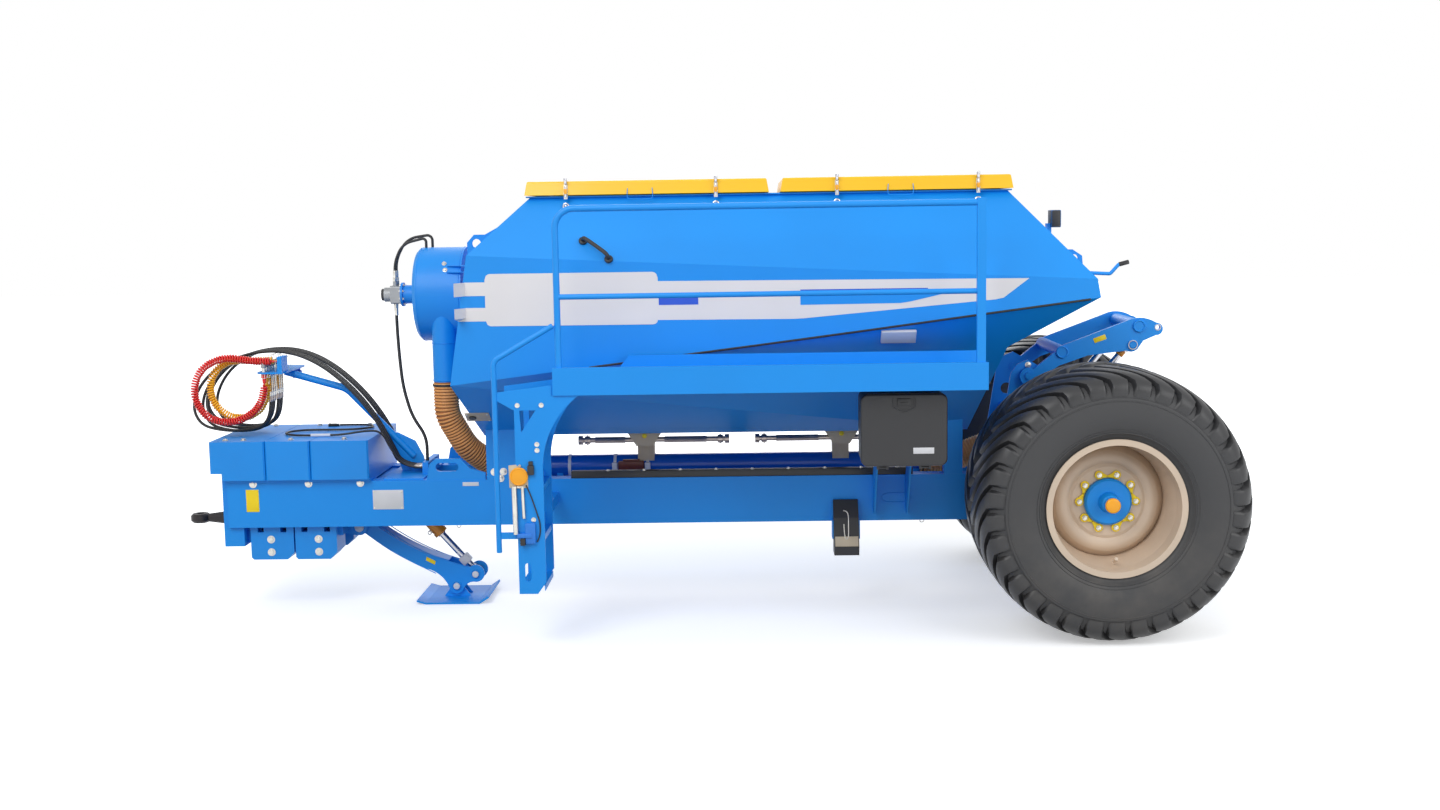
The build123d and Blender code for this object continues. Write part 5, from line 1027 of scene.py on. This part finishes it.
# ladder: reflector on its plate, twin tubes, their clamp, the sensor's bracket, bolts and lead
face = sideOf("ladder", 3.460, 1.050)[0].y
plateShape = ((3.430, 0.985), (3.540, 0.985), (3.542, 1.118), (3.500, 1.122), (3.430, 1.070))
dress("reflectorPlate", tracedPlate(sideSpots(face + 0.0003, plateShape), (0, 0.0035, 0), 0.001), "beige plastic")
dress("sideReflector", bars(spot(3.482, face, 1.053), leftWay, (0.0036, 0.0146, 0.054, 0.003, 56)) + [
    ringAt(spot(3.482, face + 0.0146, 1.053), leftWay, 0.047, 0.0026, 56)], "amber plastic", 40)
dress("reflectorBolt", bars(spot(3.476, face, 1.115), leftWay, (0.0028, 0.0136, 0.009, 0.001, 6)), "beige plastic")
dress("twinTubes", [
    roundBar(spot(3.507, face + 0.0195, 0.712), spot(3.511, face + 0.0195, 0.998), 0.0155, 0.002),
    roundBar(spot(3.458, face + 0.0130, 0.805), spot(3.463, face + 0.0130, 0.995), 0.0095, 0.002, 20)] + blocks(
    (3.528, face + 0.0004, 0.984, 3.450, face + 0.0120, 0.996, 0.002)), "zinc plate", 40)
dress("tubeFoot", blocks((3.500, face + 0.0004, 0.690, 3.412, face + 0.032, 0.716, 0.004),
                         (3.452, face + 0.0006, 0.655, 3.392, face + 0.026, 0.776, 0.005)), "cap blue")
dress("tubeFootEnd", blocks((3.482, face + 0.0005, 0.646, 3.4525, face + 0.036, 0.6895, 0.004)), "black rubber")
dress("sensorBracket", blocks((3.430, face + 0.0004, 1.062, 3.392, face + 0.022, 1.118, 0.004),
                              (3.424, face + 0.0004, 1.1175, 3.398, face + 0.016, 1.142, 0.003)), "black plastic")
boltsAt("ladderBolts", [sideOf("ladder", *corner) for corner in (
    (3.372, 1.240), (3.372, 1.205), (3.404, 0.794), (3.340, 1.470), (3.480, 1.470))], 0.010, 0.008)
dress("reflectorLead", lineTube([sideOf("ladder", *corner)[0] + leftWay * 0.0045 for corner in (
    (3.442, 1.001), (3.420, 0.950), (3.400, 0.890), (3.382, 0.830), (3.366, 0.780), (3.366, 0.700),
    (3.385, 0.664))], 0.004), "black rubber", 60)
print("ladder dressed")

# toolbox: ribs on the lid, a rim round the door, latch, shield-shaped bead, blank label and hinge pins
dress("toolboxRibs", blocks(*((1.010 + 0.0165 * step, 1.290, 1.4945, 1.018 + 0.0165 * step, 1.326, 1.4985, 0.0012)
                              for step in range(27))), "black plastic", 35, "toolbox_door")
dress("toolboxRim", lineTube(sideSpots(1.3265, (
    (1.010, 1.085), (1.225, 1.085), (1.440, 1.085), (1.448, 1.280), (1.440, 1.476), (1.225, 1.476), (1.010, 1.476),
    (1.002, 1.280))), 0.004, 4, True), "black plastic", 60, "toolbox_door")
dress("toolboxLatch", blocks((1.185, 1.3255, 1.425, 1.265, 1.3335, 1.468, 0.004),
                             (1.200, 1.3330, 1.432, 1.250, 1.3375, 1.446, 0.002)),
      "black rubber", 35, "toolbox_door")
dress("toolboxShield", lineTube(sideSpots(1.3300, (
    (1.160, 1.478), (1.160, 1.440), (1.160, 1.415), (1.190, 1.402), (1.225, 1.386), (1.260, 1.402), (1.290, 1.415),
    (1.290, 1.440), (1.290, 1.478))), 0.0035), "black plastic", 60, "toolbox_door")
dress("toolboxLabel", blocks((1.050, 1.3302, 1.140, 1.172, 1.3312, 1.176, 0.0003)), "plate white", 35,
      "toolbox_door")
dress("toolboxPins", bars(spot(0, 1.297, 1.055), frontWay, *(
    (station - 0.034, station + 0.034, 0.004, 0.001, 16) for station in (1.100, 1.350))), "zinc plate", 40)
print("toolbox dressed")

# metering drive: collars, cross pins, square couplings and dots; below it the air tube's clamps and sensor
drive = {"y": 0.150, "height": 1.078, "collars": (1.060, 2.040, 2.330, 3.210),
         "squares": ((1.150, 1.400), (1.680, 1.960), (2.420, 2.700), (2.960, 3.160)), "dots": (2.830, 1.530),
         "tubeBands": (3.345, 3.040, 2.820), "tubeLegs": (3.040, 2.820)}
shaftBits = bars(spot(0, drive["y"], drive["height"]), frontWay, *(
    (low, high, 0.0215, 0.002, 4) for low, high in drive["squares"]))
for station in drive["collars"]:
    shaftBits += bars(spot(station, drive["y"], drive["height"]), frontWay, (-0.018, 0.018, 0.027, 0.003, 28))
    shaftBits += bars(spot(station, drive["y"], 0), upWay, (1.045, 1.112, 0.005, 0.001, 12))
dress("shaftCollars", shaftBits, "steel shaft", 40)
dots = []
for station in drive["dots"]:
    dots += bars(spot(station, 0, 1.108), leftWay, (0.1855, 0.1935, 0.016, 0.003, 28))
dress("meterDots", dots, "signal yellow", 40)
clampBits = bars(spot(0, 0, 0.885), frontWay, *(
    (station - 0.010, station + 0.010, 0.0785, 0.001, 48) for station in drive["tubeBands"]))
for station in drive["tubeLegs"]:
    clampBits += blocks((station + 0.018, 0.070, 0.850, station - 0.018, 0.102, 0.915, 0.004),
                        (station + 0.006, 0.082, 0.8005, station - 0.006, 0.094, 0.852, 0.002))
dress("tubeClamps", clampBits, "plate white", 40)
dress("seedSensor", blocks((3.015, 0.040, 0.868, 2.845, 0.104, 0.925, 0.006),
                           (2.985, 0.060, 0.920, 2.875, 0.092, 0.936, 0.004)), "brown resin")
# black strip on the frame's top: a rubber strip, and its black also stands in for the shade under the air tube (painted
# shade)
dress("railStrip", blocks((3.300, 0.318, 0.8603, 1.080, 0.376, 0.9060, 0.004)), "black rubber")
boltsAt("railStripScrews", [(spot(1.180 + 0.235 * step, 0.362, 0.9061), upWay) for step in range(9)], 0.010, 0.006)
dress("ovalWeld", lineTube(sideSpots(0.3804, (
    (1.115, 0.740), (1.200, 0.740), (1.260, 0.740), (1.292, 0.710), (1.260, 0.680), (1.200, 0.680), (1.115, 0.680),
    (1.083, 0.710))), 0.0032, 4, True), "blue paint", 60)
dress("railHooks", [ringAt(spot(station, 0.350, 0.552), leftWay, 0.013, 0.003, 24) for station in (1.020, 4.050)],
      "zinc plate", 60)
print("metering dressed")

# wheel chock's wire clip and pale band
dress("chockClip", lineTube([sideOf("wheel_chock", *corner)[0] + Vector((0, 0.006, 0.003)) for corner in (
    (1.538, 0.640), (1.505, 0.640), (1.506, 0.560), (1.508, 0.470), (1.535, 0.468), (1.536, 0.560))], 0.0035),
    "zinc plate", 60)
bandFeet = [sideOf("wheel_chock", *corner) for corner in (
    (1.446, 0.425), (1.594, 0.425), (1.594, 0.485), (1.446, 0.485))]
chockOut = sideOf("wheel_chock", 1.520, 0.600)[1]
dress("chockBand", tracedPlate([place + normal * 0.0015 for place, normal in bandFeet], chockOut * 0.004, 0.0012),
      "beige plastic")

# lift arms: rings round bosses and pins, a blank tag, and the cylinders' rings and collars
dress("armBossRings", [ringAt(sideOf("lift_arms", station, height, side)[0], leftWay, 0.034, 0.005, 40)
                       for station, height in ((-0.370, 1.800), (0.120, 1.640)) for side in (1, -1)],
      "blue paint", 60, "lift_arms")
armRings = []
for station, probe, height, radius in ((-0.490, -0.464, 1.790, 0.018), (-0.330, -0.330, 1.680, 0.028)):
    for side in (1, -1):
        y = sideOf("lift_arms", probe, height, side)[0].y
        armRings.append(ringAt(spot(station, y, height), leftWay, radius, 0.0035, 32))
dress("armPinRings", armRings, "plate white", 60, "lift_arms")
armAlong, armAcross = Vector((-0.82, 0, 0.30)).normalized(), Vector((0.30, 0, 0.82)).normalized()
armTag = rectangle(sideOf("lift_arms", -0.120, 1.722)[0] + leftWay * 0.0004, armAlong * 0.040, armAcross * 0.016)
dress("armTag", tracedPlate(armTag, (0, 0.0016, 0), 0.0003), "signal yellow", 35, "lift_arms")
for side, prefix in ((1, "left"), (-1, "right")):
    foot, tip = spot(0.250, side * 0.240, 0.970), spot(-0.330, side * 0.240, 1.680)
    way = (tip - foot).normalized()
    dress(prefix + "LiftBarrelRings", bars(foot, way, (0.484, 0.502, 0.0445, 0.003, 44),
                                           (0.058, 0.072, 0.0435, 0.003, 44)),
          "orange paint", 40, prefix + "_lift_cylinder")
    dress(prefix + "RodCollar", bars(tip, way, (-0.098, -0.056, 0.026, 0.003, 36)), "orange paint", 40,
          prefix + "_lift_rod")
boltsAt("towerBolts", [sideOf("lift_towers", 0.330, 1.555), sideOf("lift_towers", 0.450, 1.100)], 0.014, 0.010)
# work lamp's dark housing with its glass, and sleeves on the strap hooks
dress("lampHousing", blocks((0.1415, -0.0665, 2.4335, 0.0790, 0.0665, 2.5465, 0.006)), "black plastic")
dress("lampGlass", blocks((0.0792, -0.055, 2.445, 0.0760, 0.055, 2.535, 0.002)), "plate white", 35, "chassis")
dress("hookSleeves", [roundBar(spot(-0.112, y, 2.2155), spot(-0.171, y, 2.2302), 0.0135, 0.003, 20)
                      for y in (-0.900, 0.900)], "black rubber", 40)
print("lift arms and rear dressed")

print("all pieces placed")
